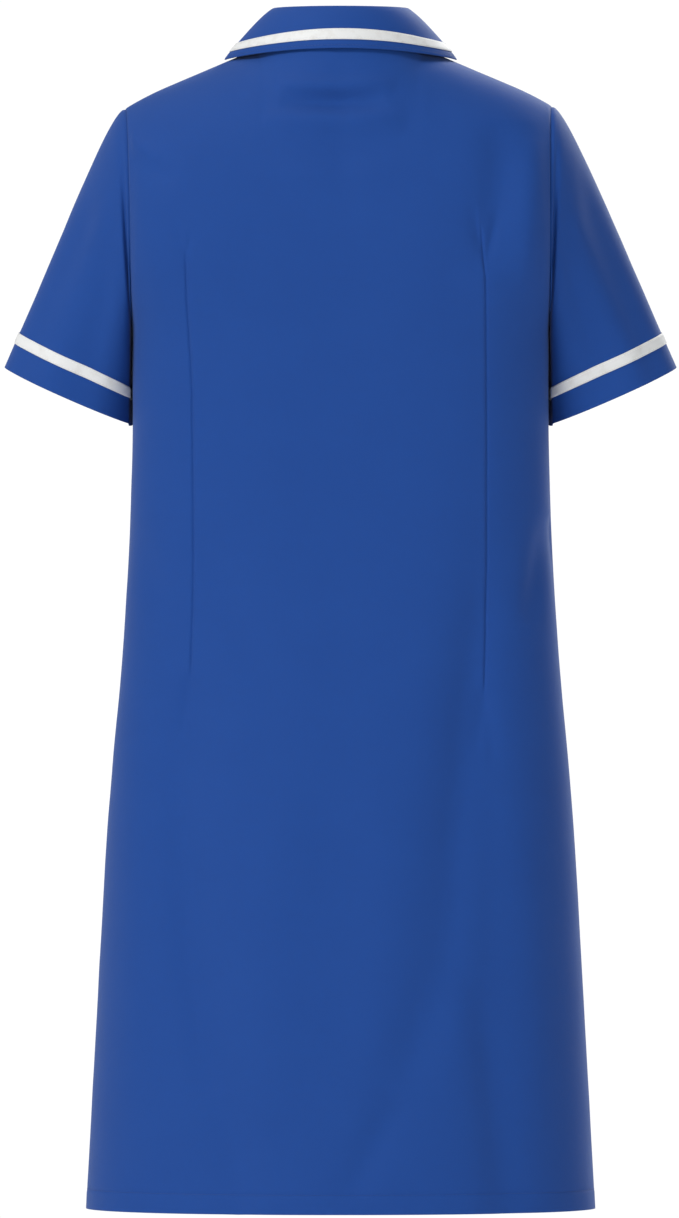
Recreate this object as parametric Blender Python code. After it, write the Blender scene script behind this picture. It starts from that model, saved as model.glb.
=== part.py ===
"""A nurse's uniform dress: short sleeves, turned-down collar, A-line skirt.

The dress is filled out as it is worn, with nobody in it.  Units are metres and
+Z is up.  The wearer faces +Y, so the back panel is on the -Y side, and +X is
the wearer's right.  The origin lies between the two neck points of the
shoulder seams, where the shoulders carry the dress.  Every cut piece is a wall
of cloth worked out from the sizes below, one object for each piece.
"""

import math
from collections import namedtuple

import bmesh
import bpy
from mathutils import Vector

# ---- cloth ---------------------------------------------------------------
WALL = 0.0015          # body cloth with its seam allowances
TRIM_WALL = 0.0010     # woven tape
SEAM_GAP = 0.0003      # between the edges of two pieces
LAP_STEP = 0.0022      # how far the lower front lies under the upper one

BACK, FRONT = -1, 1
LEFT, RIGHT = -1, 1

# ---- body below the armholes ----------------------------------------------
UNDERARM = -0.235
HEM = -1.001
Section = namedtuple("Section", "height half_width back_depth front_depth squareness")
SECTIONS = (
    Section(UNDERARM, 0.1815, 0.105, 0.114, 2.8),
    Section(-0.330, 0.1815, 0.101, 0.108, 2.7),
    Section(-0.400, 0.1835, 0.099, 0.104, 2.6),
    Section(-0.470, 0.1870, 0.102, 0.107, 2.5),
    Section(-0.540, 0.1920, 0.109, 0.113, 2.4),
    Section(-0.610, 0.1985, 0.117, 0.120, 2.3),
    Section(-0.680, 0.2040, 0.124, 0.126, 2.3),
    Section(-0.820, 0.2120, 0.135, 0.137, 2.25),
    Section(HEM, 0.2220, 0.148, 0.150, 2.2),
)

# ---- neck and shoulders ----------------------------------------------------
NECK_EDGE = 0.385      # share of the panel's half width that meets the neck
NECK_HALF_WIDTH = 0.072
NECK_DEPTH = {BACK: 0.066, FRONT: 0.088}
NECK_SIDE_HEIGHT = 0.0107
NECK_DROP = {BACK: -0.0113, FRONT: 0.0707}
SHOULDER_SLOPE = 0.428
SHOULDER_TURN = 0.150  # from here out the shoulder line turns down
SHOULDER_CURL = 2.1    # drop for each metre squared beyond the turn
SHOULDER_TIP = {LEFT: 0.188, RIGHT: 0.184}

# How each column of a panel runs from the underarm level to the top edge: its
# two middle control points, as depth, and as share of the rise.
Yoke = namedtuple("Yoke", "place depth_low depth_high rise_low rise_high")
YOKE = {
    BACK: (
        Yoke(0.00, 0.113, 0.103, 0.33, 0.67),
        Yoke(0.385, 0.113, 0.108, 0.35, 0.94),
        Yoke(0.70, 0.112, 0.098, 0.34, 0.96),
        Yoke(0.88, 0.100, 0.090, 0.20, 0.97),
        Yoke(1.00, 0.085, 0.080, 0.02, 0.97),
    ),
    FRONT: (
        Yoke(0.00, 0.118, 0.108, 0.33, 0.67),
        Yoke(0.385, 0.122, 0.105, 0.35, 0.90),
        Yoke(0.70, 0.118, 0.095, 0.34, 0.95),
        Yoke(0.88, 0.098, 0.085, 0.20, 0.97),
        Yoke(1.00, 0.080, 0.074, 0.02, 0.97),
    ),
}

# ---- the largest folds, as soft troughs that fall from the darts ------------
Fold = namedtuple("Fold", "face route width depth")
FOLDS = (
    Fold(BACK, ((-0.131, -0.52), (-0.136, -0.61), (-0.123, -0.82), (-0.095, -0.98)), 0.024, 0.0050),
    Fold(BACK, ((0.126, -0.44), (0.108, -0.56), (0.095, -0.69), (0.086, -0.80), (0.05, -0.90)),
         0.024, 0.0050),
    Fold(BACK, ((0.126, -0.55), (0.130, -0.82), (0.148, -1.01)), 0.020, 0.0040),
    Fold(FRONT, ((-0.120, -0.46), (-0.112, -0.66), (-0.120, -1.01)), 0.026, 0.0050),
    Fold(FRONT, ((0.118, -0.48), (0.126, -0.70), (0.108, -1.01)), 0.026, 0.0050),
)
FOLD_FADE = 0.09       # length over which a fold comes in and dies away

# ---- sleeves -----------------------------------------------------------------
SLEEVE_LEAN = math.radians(23.6)           # from vertical, outwards
SLEEVE_HEM_CENTRE = (0.2349, 0.020, -0.293)
SLEEVE_HEM_HALF = (0.0637, 0.0520)         # across and front to back
SLEEVE_BACK_DROP = 0.004
SLEEVE_REST = 0.0034                       # off the body, where the sleeve hangs against it
CAP_LEAD = 0.016                           # how far the cap carries the shoulder on
SLEEVE_TRIM_INSET = 0.023
SLEEVE_TRIM_WIDTH = 0.010

# ---- collar --------------------------------------------------------------------
COLLAR_OPENING = math.radians(3.0)         # half the gap at centre front
NECK_LIFT = (0.0006, 0.0020)                # the stand's foot over the seam, back and front
STAND_SET_OUT = 0.0006                     # the stand's top, outside the fold's inner edge
STAND_CLEARANCE = 0.0012                   # and below the fall
FOLD_RING = (0.0590, 0.055, 0.084)         # half width, depth at the back, at the front
FOLD_TOP = 0.0452
FOLD_FRONT_DROP = 0.082
ROLL = (0.0700, 0.0640, 0.0960)
ROLL_HEIGHT = 0.0400
FALL_EDGE = (0.1018, 0.0760)
FALL_BACK_HEIGHT = 0.0078
FALL_SIDE_HEIGHT = 0.0008
FALL_POINT = (0.205, 0.70)                 # place on the front where its points lie
FALL_SETTLE = 1.4      # how soon the edge comes in to the shoulder line
FALL_CLEARANCE = 0.0032
FALL_LIFT = Vector((0.0, 0.012, 0.012))    # of the fall at centre front
COLLAR_TRIM_INSET = 0.008
COLLAR_TRIM_WIDTH = 0.0105

# ---- centre front -----------------------------------------------------------------
LAP = 0.012
BUTTON_RADIUS = 0.0075
BUTTON_THICKNESS = 0.0030
BUTTON_SEAT = 0.0008
BUTTON_COUNT = 8
BUTTON_TOP = -0.088
BUTTON_SPACING = 0.108

# ---- mesh --------------------------------------------------------------------------
BACK_COLUMNS = 26
FRONT_COLUMNS = 13
SKIRT_ROWS = 14
YOKE_ROWS = 9
SLEEVE_COLUMNS = 26
COLLAR_COLUMNS = 36
CURVE_STEPS = 40       # steps in which a curve's length is measured
BUTTON_SIDES = 12

Finish = namedtuple("Finish", "colour roughness")
CLOTH = Finish((0.026, 0.086, 0.300, 1.0), 0.85)
TAPE = Finish((0.80, 0.83, 0.84, 1.0), 0.80)
SHELL = Finish((0.78, 0.80, 0.82, 1.0), 0.30)


# ==== small helpers ====================================================================
def mix(start, end, share):
    """The value a share of the way from start to end."""
    return start + (end - start) * share


def ease(share):
    """A share from 0 to 1 that starts and stops gently."""
    share = min(1.0, max(0.0, share))
    return share * share * (3.0 - 2.0 * share)


def bezier(points, share):
    """A point on the cubic curve of four control values or vectors."""
    rest = 1.0 - share
    weights = (rest**3, 3.0 * share * rest**2, 3.0 * share**2 * rest, share**3)
    total = points[0] * weights[0]
    for point, weight in zip(points[1:], weights[1:]):
        total = total + point * weight
    return total


def read_table(rows, column, at):
    """A smooth value of one column of a table whose first column runs one way."""
    keys = [row[0] for row in rows]
    values = [getattr(row, column) for row in rows]
    if keys[0] > keys[-1]:
        keys, values = keys[::-1], values[::-1]
    at = min(keys[-1], max(keys[0], at))
    last = len(keys) - 1

    def slope(index):
        low, high = max(0, index - 1), min(last, index + 1)
        return (values[high] - values[low]) / (keys[high] - keys[low])

    index = max(i for i in range(last) if keys[i] <= at)
    step = keys[index + 1] - keys[index]
    handles = (
        values[index],
        values[index] + slope(index) * step / 3.0,
        values[index + 1] - slope(index + 1) * step / 3.0,
        values[index + 1],
    )
    return bezier(handles, (at - keys[index]) / step)


def solve(function, low, high, wanted):
    """The argument at which a rising function reaches the wanted value."""
    for _ in range(32):
        middle = 0.5 * (low + high)
        if function(middle) < wanted:
            low = middle
        else:
            high = middle
    return 0.5 * (low + high)


def run_along(curve, length):
    """The point at a length along a curve, which is a function of a share."""
    run, last = 0.0, curve(0.0)
    for i in range(1, CURVE_STEPS + 1):
        point = curve(i / CURVE_STEPS)
        step = (point - last).length
        if run + step >= length:
            return last.lerp(point, (length - run) / step)
        run, last = run + step, point
    return last


def curve_length(curve):
    """The whole length of a curve."""
    points = [curve(i / CURVE_STEPS) for i in range(CURVE_STEPS + 1)]
    return sum((after - before).length for before, after in zip(points, points[1:]))


# ==== the body's surface ====================================================================
def section_point(face, place, height):
    """A point on the body below the armholes; place runs from -1 to 1 across."""
    angle = place * math.pi / 2.0
    half = read_table(SECTIONS, "half_width", height)
    depth = read_table(SECTIONS, "back_depth" if face == BACK else "front_depth", height)
    power = read_table(SECTIONS, "squareness", height)
    across, along = math.sin(angle), math.cos(angle)
    radius = (abs(across / half) ** power + abs(along / depth) ** power) ** (-1.0 / power)
    return Vector((radius * across, face * radius * along, height))


def neck_point(face, place):
    """A point on the neck seam; place runs from -1 to 1 across that face."""
    angle = place * math.pi / 2.0
    drop = NECK_DROP[face] * abs(math.cos(angle)) ** 1.6
    return Vector((
        NECK_HALF_WIDTH * math.sin(angle),
        face * NECK_DEPTH[face] * math.cos(angle),
        NECK_SIDE_HEIGHT - drop,
    ))


def top_point(face, place):
    """A point on a panel's top edge: neck seam, then shoulder seam."""
    size = abs(place)
    if size <= NECK_EDGE:
        return neck_point(face, place / NECK_EDGE)
    side = RIGHT if place > 0.0 else LEFT
    across = mix(NECK_HALF_WIDTH, SHOULDER_TIP[side], (size - NECK_EDGE) / (1.0 - NECK_EDGE))
    curl = SHOULDER_CURL * max(0.0, across - SHOULDER_TURN) ** 2
    height = NECK_SIDE_HEIGHT - SHOULDER_SLOPE * (across - NECK_HALF_WIDTH) - curl
    return Vector((side * across, 0.0, height))


def fold_depth(face, across, height):
    """How far the folds draw the cloth in at a place on one face."""
    total = 0.0
    for fold in FOLDS:
        if fold.face != face:
            continue
        top, bottom = fold.route[0][1], fold.route[-1][1]
        if not bottom - FOLD_FADE <= height <= top + FOLD_FADE:
            continue
        route = fold.route[::-1]
        index = 0
        while index < len(route) - 2 and route[index + 1][1] < height:
            index += 1
        (low_x, low_z), (high_x, high_z) = route[index], route[index + 1]
        line = mix(low_x, high_x, min(1.2, max(-0.2, (height - low_z) / (high_z - low_z))))
        fade = ease((top + FOLD_FADE - height) / (2.0 * FOLD_FADE))
        if bottom > HEM:
            fade *= ease((height - bottom + FOLD_FADE) / (2.0 * FOLD_FADE))
        total += fold.depth * fade * math.exp(-(((across - line) / fold.width) ** 2))
    return total


def body_point(face, place, level):
    """A point on a body panel.

    place runs from -1 at the left edge to 1 at the right edge.  level runs from
    -1 at the hem through 0 at the underarm to 1 at the top edge.
    """
    if level <= 0.0:
        height = mix(UNDERARM, HEM, -level)
        point = section_point(face, place, height)
        edge = ease((1.0 - abs(place)) / 0.25)
        point.y -= face * edge * fold_depth(face, point.x, height)
        return point
    low, top = section_point(face, place, UNDERARM), top_point(face, place)
    size, rise = abs(place), top.z - low.z
    rows = YOKE[face]
    depths = (abs(low.y), read_table(rows, "depth_low", size),
              read_table(rows, "depth_high", size), abs(top.y))
    heights = (low.z, low.z + rise * read_table(rows, "rise_low", size),
               low.z + rise * read_table(rows, "rise_high", size), top.z)
    across = (low.x, low.x, mix(low.x, top.x, 0.5), top.x)
    return Vector((bezier(across, level), face * bezier(depths, level), bezier(heights, level)))


def place_at(face, level, across):
    """The place on a row at which the panel's x is the wanted one."""
    return solve(lambda place: body_point(face, place, level).x, -1.0, 1.0, across)


def normal_at(surface, first, second, step=0.004):
    """The outward unit normal of a surface of two arguments."""
    along = surface(first + step, second) - surface(first - step, second)
    up = surface(first, second + step) - surface(first, second - step)
    return along.cross(up).normalized()


# ==== making solids ====================================================================
def grid_normals(grid, closed):
    """The unit normal at each point of a grid, rows by columns."""
    last_row, count = len(grid) - 1, len(grid[0])
    normals = []
    for i, row in enumerate(grid):
        line = []
        for j in range(count):
            before = (j - 1) % count if closed else max(0, j - 1)
            after = (j + 1) % count if closed else min(count - 1, j + 1)
            along = row[after] - row[before]
            up = grid[min(last_row, i + 1)][j] - grid[max(0, i - 1)][j]
            line.append(along.cross(up).normalized())
        normals.append(line)
    return normals


def moved(grid, normals, distance):
    """A copy of a grid moved along its normals."""
    return [[point + normal * distance for point, normal in zip(row, line)]
            for row, line in zip(grid, normals)]


def add_solid(name, mesh, finish):
    """Put a mesh in the scene as one named object with its own material."""
    material = bpy.data.materials.new(name)
    material.use_nodes = True
    shader = material.node_tree.nodes["Principled BSDF"]
    shader.inputs["Base Color"].default_value = finish.colour
    shader.inputs["Roughness"].default_value = finish.roughness
    mesh.materials.append(material)
    mesh.shade_smooth()
    mesh.set_sharp_from_angle(angle=math.radians(35.0))
    piece = bpy.data.objects.new(name, mesh)
    bpy.context.scene.collection.objects.link(piece)
    return piece


def wall(name, outer, inner, finish, closed=False):
    """A wall between two grids of the same size, closed at its free edges."""
    rows, columns = len(outer), len(outer[0])
    bm = bmesh.new()
    sheets = [[[bm.verts.new(point) for point in row] for row in grid] for grid in (outer, inner)]
    spans = columns if closed else columns - 1
    for sheet in sheets:
        for i in range(rows - 1):
            for j in range(spans):
                k = (j + 1) % columns
                bm.faces.new((sheet[i][j], sheet[i][k], sheet[i + 1][k], sheet[i + 1][j]))
    edge_rows = [(0, j, 0, (j + 1) % columns) for j in range(spans)]
    edge_rows += [(rows - 1, j, rows - 1, (j + 1) % columns) for j in range(spans)]
    if not closed:
        edge_rows += [(i, j, i + 1, j) for i in range(rows - 1) for j in (0, columns - 1)]
    for i, j, k, m in edge_rows:
        bm.faces.new((sheets[0][i][j], sheets[0][k][m], sheets[1][k][m], sheets[1][i][j]))
    bmesh.ops.recalc_face_normals(bm, faces=bm.faces)
    mesh = bpy.data.meshes.new(name)
    bm.to_mesh(mesh)
    bm.free()
    return add_solid(name, mesh, finish)


# ==== body panels ====================================================================
def panel_levels():
    """The rows of a body panel, from the hem to the top edge."""
    skirt = [-1.0 + i / SKIRT_ROWS for i in range(SKIRT_ROWS)]
    yoke = [(i / YOKE_ROWS) ** 0.85 for i in range(YOKE_ROWS + 1)]
    return skirt + yoke


def panel(name, face, places_at):
    """One body panel; places_at gives the places of its columns on a level."""
    grid = []
    for level in panel_levels():
        row = []
        for place, lap in places_at(level):
            point = body_point(face, place, level)
            point.y = face * max(face * point.y, SEAM_GAP / 2.0)
            row.append(point + Vector((0.0, -face * lap, 0.0)))
        grid.append(row)
    normals = grid_normals(grid, closed=False)
    inner = moved(grid, normals, WALL * face)
    for row in inner:
        for point in row:
            point.y = face * max(face * point.y, SEAM_GAP / 2.0)
    return wall(name, grid, inner, CLOTH)


def make_back():
    """The back, cut in one piece, with no centre seam."""
    span = [-1.0 + 2.0 * j / BACK_COLUMNS for j in range(BACK_COLUMNS + 1)]
    panel("back_panel", BACK, lambda level: [(place, 0.0) for place in span])


def make_fronts():
    """Two fronts; the right one laps over the left one at centre front."""
    def right_places(level):
        edge = place_at(FRONT, level, -LAP)
        return [(mix(edge, 1.0, j / FRONT_COLUMNS), 0.0) for j in range(FRONT_COLUMNS + 1)]

    def left_places(level):
        step_out = place_at(FRONT, level, -2.6 * LAP)
        step_in = place_at(FRONT, level, -1.4 * LAP)
        edge = place_at(FRONT, level, LAP)
        count = FRONT_COLUMNS - 2
        outer = [(mix(-1.0, step_out, j / count), 0.0) for j in range(count + 1)]
        return outer + [(step_in, LAP_STEP), (edge, LAP_STEP)]

    panel("front_right", FRONT, right_places)
    panel("front_left", FRONT, left_places)


# ==== sleeves ====================================================================
def armhole_point(side, turn):
    """A point on the sleeve's end of the armhole seam.

    turn is the angle round the sleeve: 0 at the shoulder tip, then the front,
    then pi at the underarm, then the back.
    """
    face = FRONT if turn <= math.pi else BACK
    level = 1.0 - turn / math.pi if face == FRONT else turn / math.pi - 1.0
    point = body_point(face, side * 1.0, level)
    return point + Vector((side * SEAM_GAP, 0.0, 0.0))


def body_side(deep, height):
    """How far out the body's side is, at a depth and a height."""
    half = read_table(SECTIONS, "half_width", height)
    depth = read_table(SECTIONS, "front_depth" if deep > 0.0 else "back_depth", height)
    power = read_table(SECTIONS, "squareness", height)
    return half * max(0.0, 1.0 - abs(deep / depth) ** power) ** (1.0 / power)


def sleeve_hem_point(side, turn):
    """A point on the sleeve's lower edge, which rests against the body's side."""
    lean_out, lean_down = math.sin(SLEEVE_LEAN), -math.cos(SLEEVE_LEAN)
    across = SLEEVE_HEM_HALF[0] * math.cos(turn)
    drop = -SLEEVE_BACK_DROP * math.sin(turn)
    x = SLEEVE_HEM_CENTRE[0] - lean_down * across + lean_out * drop
    y = SLEEVE_HEM_CENTRE[1] + SLEEVE_HEM_HALF[1] * math.sin(turn)
    z = SLEEVE_HEM_CENTRE[2] + lean_out * across + lean_down * drop
    return Vector((side * max(x, body_side(y, z) + SLEEVE_REST), y, z))


def sleeve_curve(side, turn):
    """The sleeve's line from its hem up to the seam, as a function of a share."""
    start, end = armhole_point(side, turn), sleeve_hem_point(side, turn)
    length = (end - start).length
    top_share = 0.5 + 0.5 * math.cos(turn)
    lean = SLEEVE_LEAN * min(1.0, 2.0 * top_share)
    lead = Vector((side * mix(0.05, 0.90, top_share), 0.0, mix(-1.0, -0.43, top_share)))
    run = Vector((side * math.sin(lean), 0.0, -math.cos(lean)))
    points = (start, start + lead.normalized() * min(CAP_LEAD, 0.3 * length),
              end - run * mix(0.10, 0.64, top_share) * length, end)
    return lambda share: bezier(points, 1.0 - share)


def sleeve_grid(side, heights):
    """Rows round the sleeve; a height over 1 is a share of the seam's way up."""
    trim_top = SLEEVE_TRIM_INSET + SLEEVE_TRIM_WIDTH
    curves = [sleeve_curve(side, 2.0 * math.pi * j / SLEEVE_COLUMNS) for j in range(SLEEVE_COLUMNS)]
    grid = []
    for height in heights:
        row = []
        for curve in curves:
            above = height if height <= 1.0 else mix(trim_top, curve_length(curve), height - 1.0)
            row.append(run_along(curve, above))
        grid.append(row)
    return grid


def make_sleeve(side, name):
    """A set-in short sleeve, with its tape set up from the hem."""
    trim_top = SLEEVE_TRIM_INSET + SLEEVE_TRIM_WIDTH
    heights = [0.0, SLEEVE_TRIM_INSET, trim_top] + [1.0 + share for share in
                                                    (0.2, 0.4, 0.6, 0.78, 0.9, 1.0)]
    grid = sleeve_grid(side, heights)
    normals = grid_normals(grid, closed=True)
    outward = side
    inner = moved(grid, normals, -WALL * outward)
    for outer_point, inner_point in zip(grid[-1], inner[-1]):
        inner_point.x = side * max(side * inner_point.x, side * outer_point.x)
    wall("sleeve_" + name, grid, inner, CLOTH, closed=True)
    band, band_normals = grid[1:3], normals[1:3]
    wall("sleeve_trim_" + name,
         moved(band, band_normals, (SEAM_GAP + TRIM_WALL) * outward),
         moved(band, band_normals, SEAM_GAP * outward), TAPE, closed=True)


# ==== collar ====================================================================
def collar_angles():
    """Angles round the neck, from one end at centre front to the other."""
    reach = math.pi - COLLAR_OPENING
    return [mix(-reach, reach, j / COLLAR_COLUMNS) for j in range(COLLAR_COLUMNS + 1)]


def ring_point(sizes, height, front_drop, angle):
    """A point on a ring round the neck; angle is 0 at centre back."""
    half, back, front = sizes
    cosine = math.cos(angle)
    depth = back if cosine > 0.0 else front
    drop = 0.0 if cosine > 0.0 else front_drop * (-cosine) ** 1.6
    return Vector((half * math.sin(angle), -depth * cosine, height - drop))


def neck_seam(angle):
    """The neck seam at an angle round the neck."""
    if abs(angle) <= math.pi / 2.0:
        return neck_point(BACK, angle / (math.pi / 2.0))
    side = 1.0 if angle > 0.0 else -1.0
    return neck_point(FRONT, side * (math.pi - abs(angle)) / (math.pi / 2.0))


def fall_edge(angle):
    """The collar's outer edge: it lies on the shoulders and on the fronts."""
    if abs(angle) <= math.pi / 2.0:
        height = mix(FALL_BACK_HEIGHT, FALL_SIDE_HEIGHT, math.sin(angle) ** 2)
        deep = FALL_EDGE[1] * max(0.0, math.cos(angle)) ** FALL_SETTLE
        return Vector((FALL_EDGE[0] * math.sin(angle), -deep, height))
    side = 1.0 if angle > 0.0 else -1.0
    share = (abs(angle) - math.pi / 2.0) / (math.pi / 2.0)
    width = SHOULDER_TIP[RIGHT if side > 0.0 else LEFT] - NECK_HALF_WIDTH
    start = NECK_EDGE + (1.0 - NECK_EDGE) * (FALL_EDGE[0] - NECK_HALF_WIDTH) / width
    place = side * mix(start, FALL_POINT[0], share ** 0.8)
    level = mix(1.0, FALL_POINT[1], share)
    point = body_point(FRONT, place, level)
    normal = -normal_at(lambda p, v: body_point(FRONT, p, v), place, min(level, 0.99))
    point += normal * FALL_CLEARANCE * ease(share * 4.0)
    point.z += (FALL_SIDE_HEIGHT - top_point(FRONT, side * start).z) * (1.0 - ease(share * 4.0))
    return point


def fall_curve(angle):
    """The fall's line from its outer edge up to the fold, as a function of a share."""
    fold = ring_point(FOLD_RING, FOLD_TOP, FOLD_FRONT_DROP, angle)
    roll = ring_point(ROLL, ROLL_HEIGHT, FOLD_FRONT_DROP, angle)
    edge = fall_edge(angle)
    if abs(angle) > math.pi / 2.0:
        lifted = fold * 0.45 + edge * 0.55 + FALL_LIFT
        roll = roll.lerp(lifted, ease((abs(angle) - math.pi / 2.0) / (math.pi / 2.0)))
    return lambda share: (edge * (1.0 - share)**2 + roll * (2.0 * share * (1.0 - share))
                          + fold * share**2)


def make_collar():
    """The stand, the fall turned down over it, and the fall's tape."""
    angles = collar_angles()
    trim_top = COLLAR_TRIM_INSET + COLLAR_TRIM_WIDTH
    curves = [fall_curve(angle) for angle in angles]
    shares = (0.35, 0.70, 0.90, 1.0)
    grid = [[run_along(curve, height) for curve in curves]
            for height in (0.0, COLLAR_TRIM_INSET, trim_top)]
    grid += [[run_along(curve, mix(trim_top, curve_length(curve), share)) for curve in curves]
             for share in shares]
    normals = grid_normals(grid, closed=False)
    wall("collar_fall", grid, moved(grid, normals, -WALL), CLOTH)
    band, band_normals = grid[1:3], normals[1:3]
    wall("collar_trim",
         moved(band, band_normals, SEAM_GAP + TRIM_WALL),
         moved(band, band_normals, SEAM_GAP), TAPE)

    stand = []
    for share in (0.0, 0.5, 1.0):
        row = []
        for angle in angles:
            foot = neck_seam(angle)
            foot -= Vector((foot.x, foot.y, 0.0)).normalized() * 2.0 * SEAM_GAP
            foot.z += mix(NECK_LIFT[1], NECK_LIFT[0], 0.5 + 0.5 * math.cos(angle))
            top = ring_point(FOLD_RING, FOLD_TOP, FOLD_FRONT_DROP, angle)
            top += Vector((top.x, top.y, 0.0)).normalized() * STAND_SET_OUT
            top.z -= WALL + STAND_CLEARANCE
            row.append(foot.lerp(top, share))
        stand.append(row)
    wall("collar_stand", stand, moved(stand, grid_normals(stand, closed=False), -WALL), CLOTH)


# ==== buttons ====================================================================
def make_button(index):
    """A plain round button on the right front, square to the cloth."""
    height = BUTTON_TOP - BUTTON_SPACING * index
    if height <= UNDERARM:
        level = -(UNDERARM - height) / (UNDERARM - HEM)
    else:
        level = solve(lambda v: body_point(FRONT, 0.0, v).z, 0.0, 1.0, height)
    seat = body_point(FRONT, 0.0, level)
    normal = -normal_at(lambda p, v: body_point(FRONT, p, v), 0.0, level)
    profile = ((0.0, 0.0), (0.86, 0.0), (1.0, 0.35), (0.94, 1.0), (0.74, 0.86), (0.0, 0.80))
    bm = bmesh.new()
    rings = []
    for radius, rise in profile:
        count = BUTTON_SIDES if radius > 0.0 else 1
        ring = []
        for k in range(count):
            turn = 2.0 * math.pi * k / count
            flat = Vector((math.cos(turn), math.sin(turn), 0.0)) * radius * BUTTON_RADIUS
            ring.append(bm.verts.new(flat + Vector((0.0, 0.0, rise * BUTTON_THICKNESS))))
        rings.append(ring)
    for lower, upper in zip(rings, rings[1:]):
        for k in range(BUTTON_SIDES):
            m = (k + 1) % BUTTON_SIDES
            corners = [lower[k % len(lower)], lower[m % len(lower)],
                       upper[m % len(upper)], upper[k % len(upper)]]
            unique = [v for n, v in enumerate(corners) if v not in corners[:n]]
            bm.faces.new(unique)
    bmesh.ops.recalc_face_normals(bm, faces=bm.faces)
    turned = Vector((0.0, 0.0, 1.0)).rotation_difference(normal).to_matrix().to_4x4()
    mesh = bpy.data.meshes.new("button")
    bm.to_mesh(mesh)
    bm.free()
    piece = add_solid("button_%d" % (index + 1), mesh, SHELL)
    piece.matrix_world = turned
    piece.location = seat + normal * BUTTON_SEAT


def main():
    """Clear the scene and make every piece of the dress."""
    for item in list(bpy.data.objects):
        bpy.data.objects.remove(item, do_unlink=True)
    make_back()
    make_fronts()
    make_sleeve(LEFT, "left")
    make_sleeve(RIGHT, "right")
    make_collar()
    for index in range(BUTTON_COUNT):
        make_button(index)


main()
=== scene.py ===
"""Looks of a nurse's uniform dress: fine cloth, tapes, stitching and buttons.

The dress is filled out as worn, with its back on the -Y side.  Each cut piece
is a thin shell of cloth on the form of its solid in the frame, with creases
placed one by one, turned edges and sewn seams.  Lengths are metres, +Z is up.
"""

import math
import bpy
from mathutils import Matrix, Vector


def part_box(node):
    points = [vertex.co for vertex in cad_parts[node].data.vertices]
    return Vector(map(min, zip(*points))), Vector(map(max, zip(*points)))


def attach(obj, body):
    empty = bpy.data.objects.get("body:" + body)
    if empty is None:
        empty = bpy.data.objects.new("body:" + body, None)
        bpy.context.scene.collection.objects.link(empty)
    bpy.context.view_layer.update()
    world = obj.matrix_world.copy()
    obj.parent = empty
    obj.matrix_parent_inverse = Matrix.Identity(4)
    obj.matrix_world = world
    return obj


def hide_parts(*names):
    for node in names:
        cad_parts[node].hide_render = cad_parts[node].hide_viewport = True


bl_info = {
    "name": "Nurse uniform dress",
    "version": (1, 0, 0),
    "blender": (4, 5, 0),
    "location": "3D View > Sidebar > Dress",
    "description": "Makes the cloth, tapes, stitching and buttons of a uniform dress",
    "category": "Object",
}

from collections import namedtuple

import bmesh
import bpy
import numpy as np
from bpy.props import FloatProperty, FloatVectorProperty, IntProperty, PointerProperty
from mathutils import Matrix, Vector

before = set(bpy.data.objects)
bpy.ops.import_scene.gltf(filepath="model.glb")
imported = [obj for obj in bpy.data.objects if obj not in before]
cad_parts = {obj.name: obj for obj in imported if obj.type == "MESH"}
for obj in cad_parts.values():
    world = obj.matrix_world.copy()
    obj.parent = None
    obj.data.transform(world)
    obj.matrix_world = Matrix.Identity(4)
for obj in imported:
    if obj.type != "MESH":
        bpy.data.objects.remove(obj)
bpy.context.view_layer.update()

BODY = "root"
BACK, FRONT = -1, 1
LEFT, RIGHT = -1, 1
SIDE_NAMES = {LEFT: "left", RIGHT: "right"}

# ==== the cut of the dress ====================================================
UNDERARM = -0.235
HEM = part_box("back_panel")[0][2] + 0.0002
SEAM_GAP = 0.0003
Section = namedtuple("Section", "height half_width back_depth front_depth squareness")
SECTIONS = (
    Section(UNDERARM, 0.1815, 0.105, 0.114, 2.8),
    Section(-0.330, 0.1815, 0.101, 0.108, 2.7),
    Section(-0.400, 0.1835, 0.099, 0.104, 2.6),
    Section(-0.470, 0.1870, 0.102, 0.107, 2.5),
    Section(-0.540, 0.1920, 0.109, 0.113, 2.4),
    Section(-0.610, 0.1985, 0.117, 0.120, 2.3),
    Section(-0.680, 0.2040, 0.124, 0.126, 2.3),
    Section(-0.820, 0.2120, 0.135, 0.137, 2.25),
    Section(HEM, 0.2220, 0.148, 0.150, 2.2),
)
NECK_EDGE = 0.385
NECK_HALF_WIDTH = 0.072
NECK_DEPTH = {BACK: 0.066, FRONT: 0.088}
NECK_SIDE_HEIGHT = 0.0107
NECK_DROP = {BACK: -0.0113, FRONT: 0.0707}
SHOULDER_SLOPE = 0.428
SHOULDER_TURN = 0.150
SHOULDER_CURL = 2.1
SHOULDER_TIP = {LEFT: 0.188, RIGHT: 0.184}
Yoke = namedtuple("Yoke", "place depth_low depth_high rise_low rise_high")
YOKE = {
    BACK: (
        Yoke(0.00, 0.113, 0.103, 0.33, 0.67),
        Yoke(0.385, 0.113, 0.108, 0.35, 0.94),
        Yoke(0.70, 0.112, 0.098, 0.34, 0.96),
        Yoke(0.88, 0.100, 0.090, 0.20, 0.97),
        Yoke(1.00, 0.085, 0.080, 0.02, 0.97),
    ),
    FRONT: (
        Yoke(0.00, 0.118, 0.108, 0.33, 0.67),
        Yoke(0.385, 0.122, 0.105, 0.35, 0.90),
        Yoke(0.70, 0.118, 0.095, 0.34, 0.95),
        Yoke(0.88, 0.098, 0.085, 0.20, 0.97),
        Yoke(1.00, 0.080, 0.074, 0.02, 0.97),
    ),
}
LAP = 0.012
LAP_STEP = 0.0022

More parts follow.
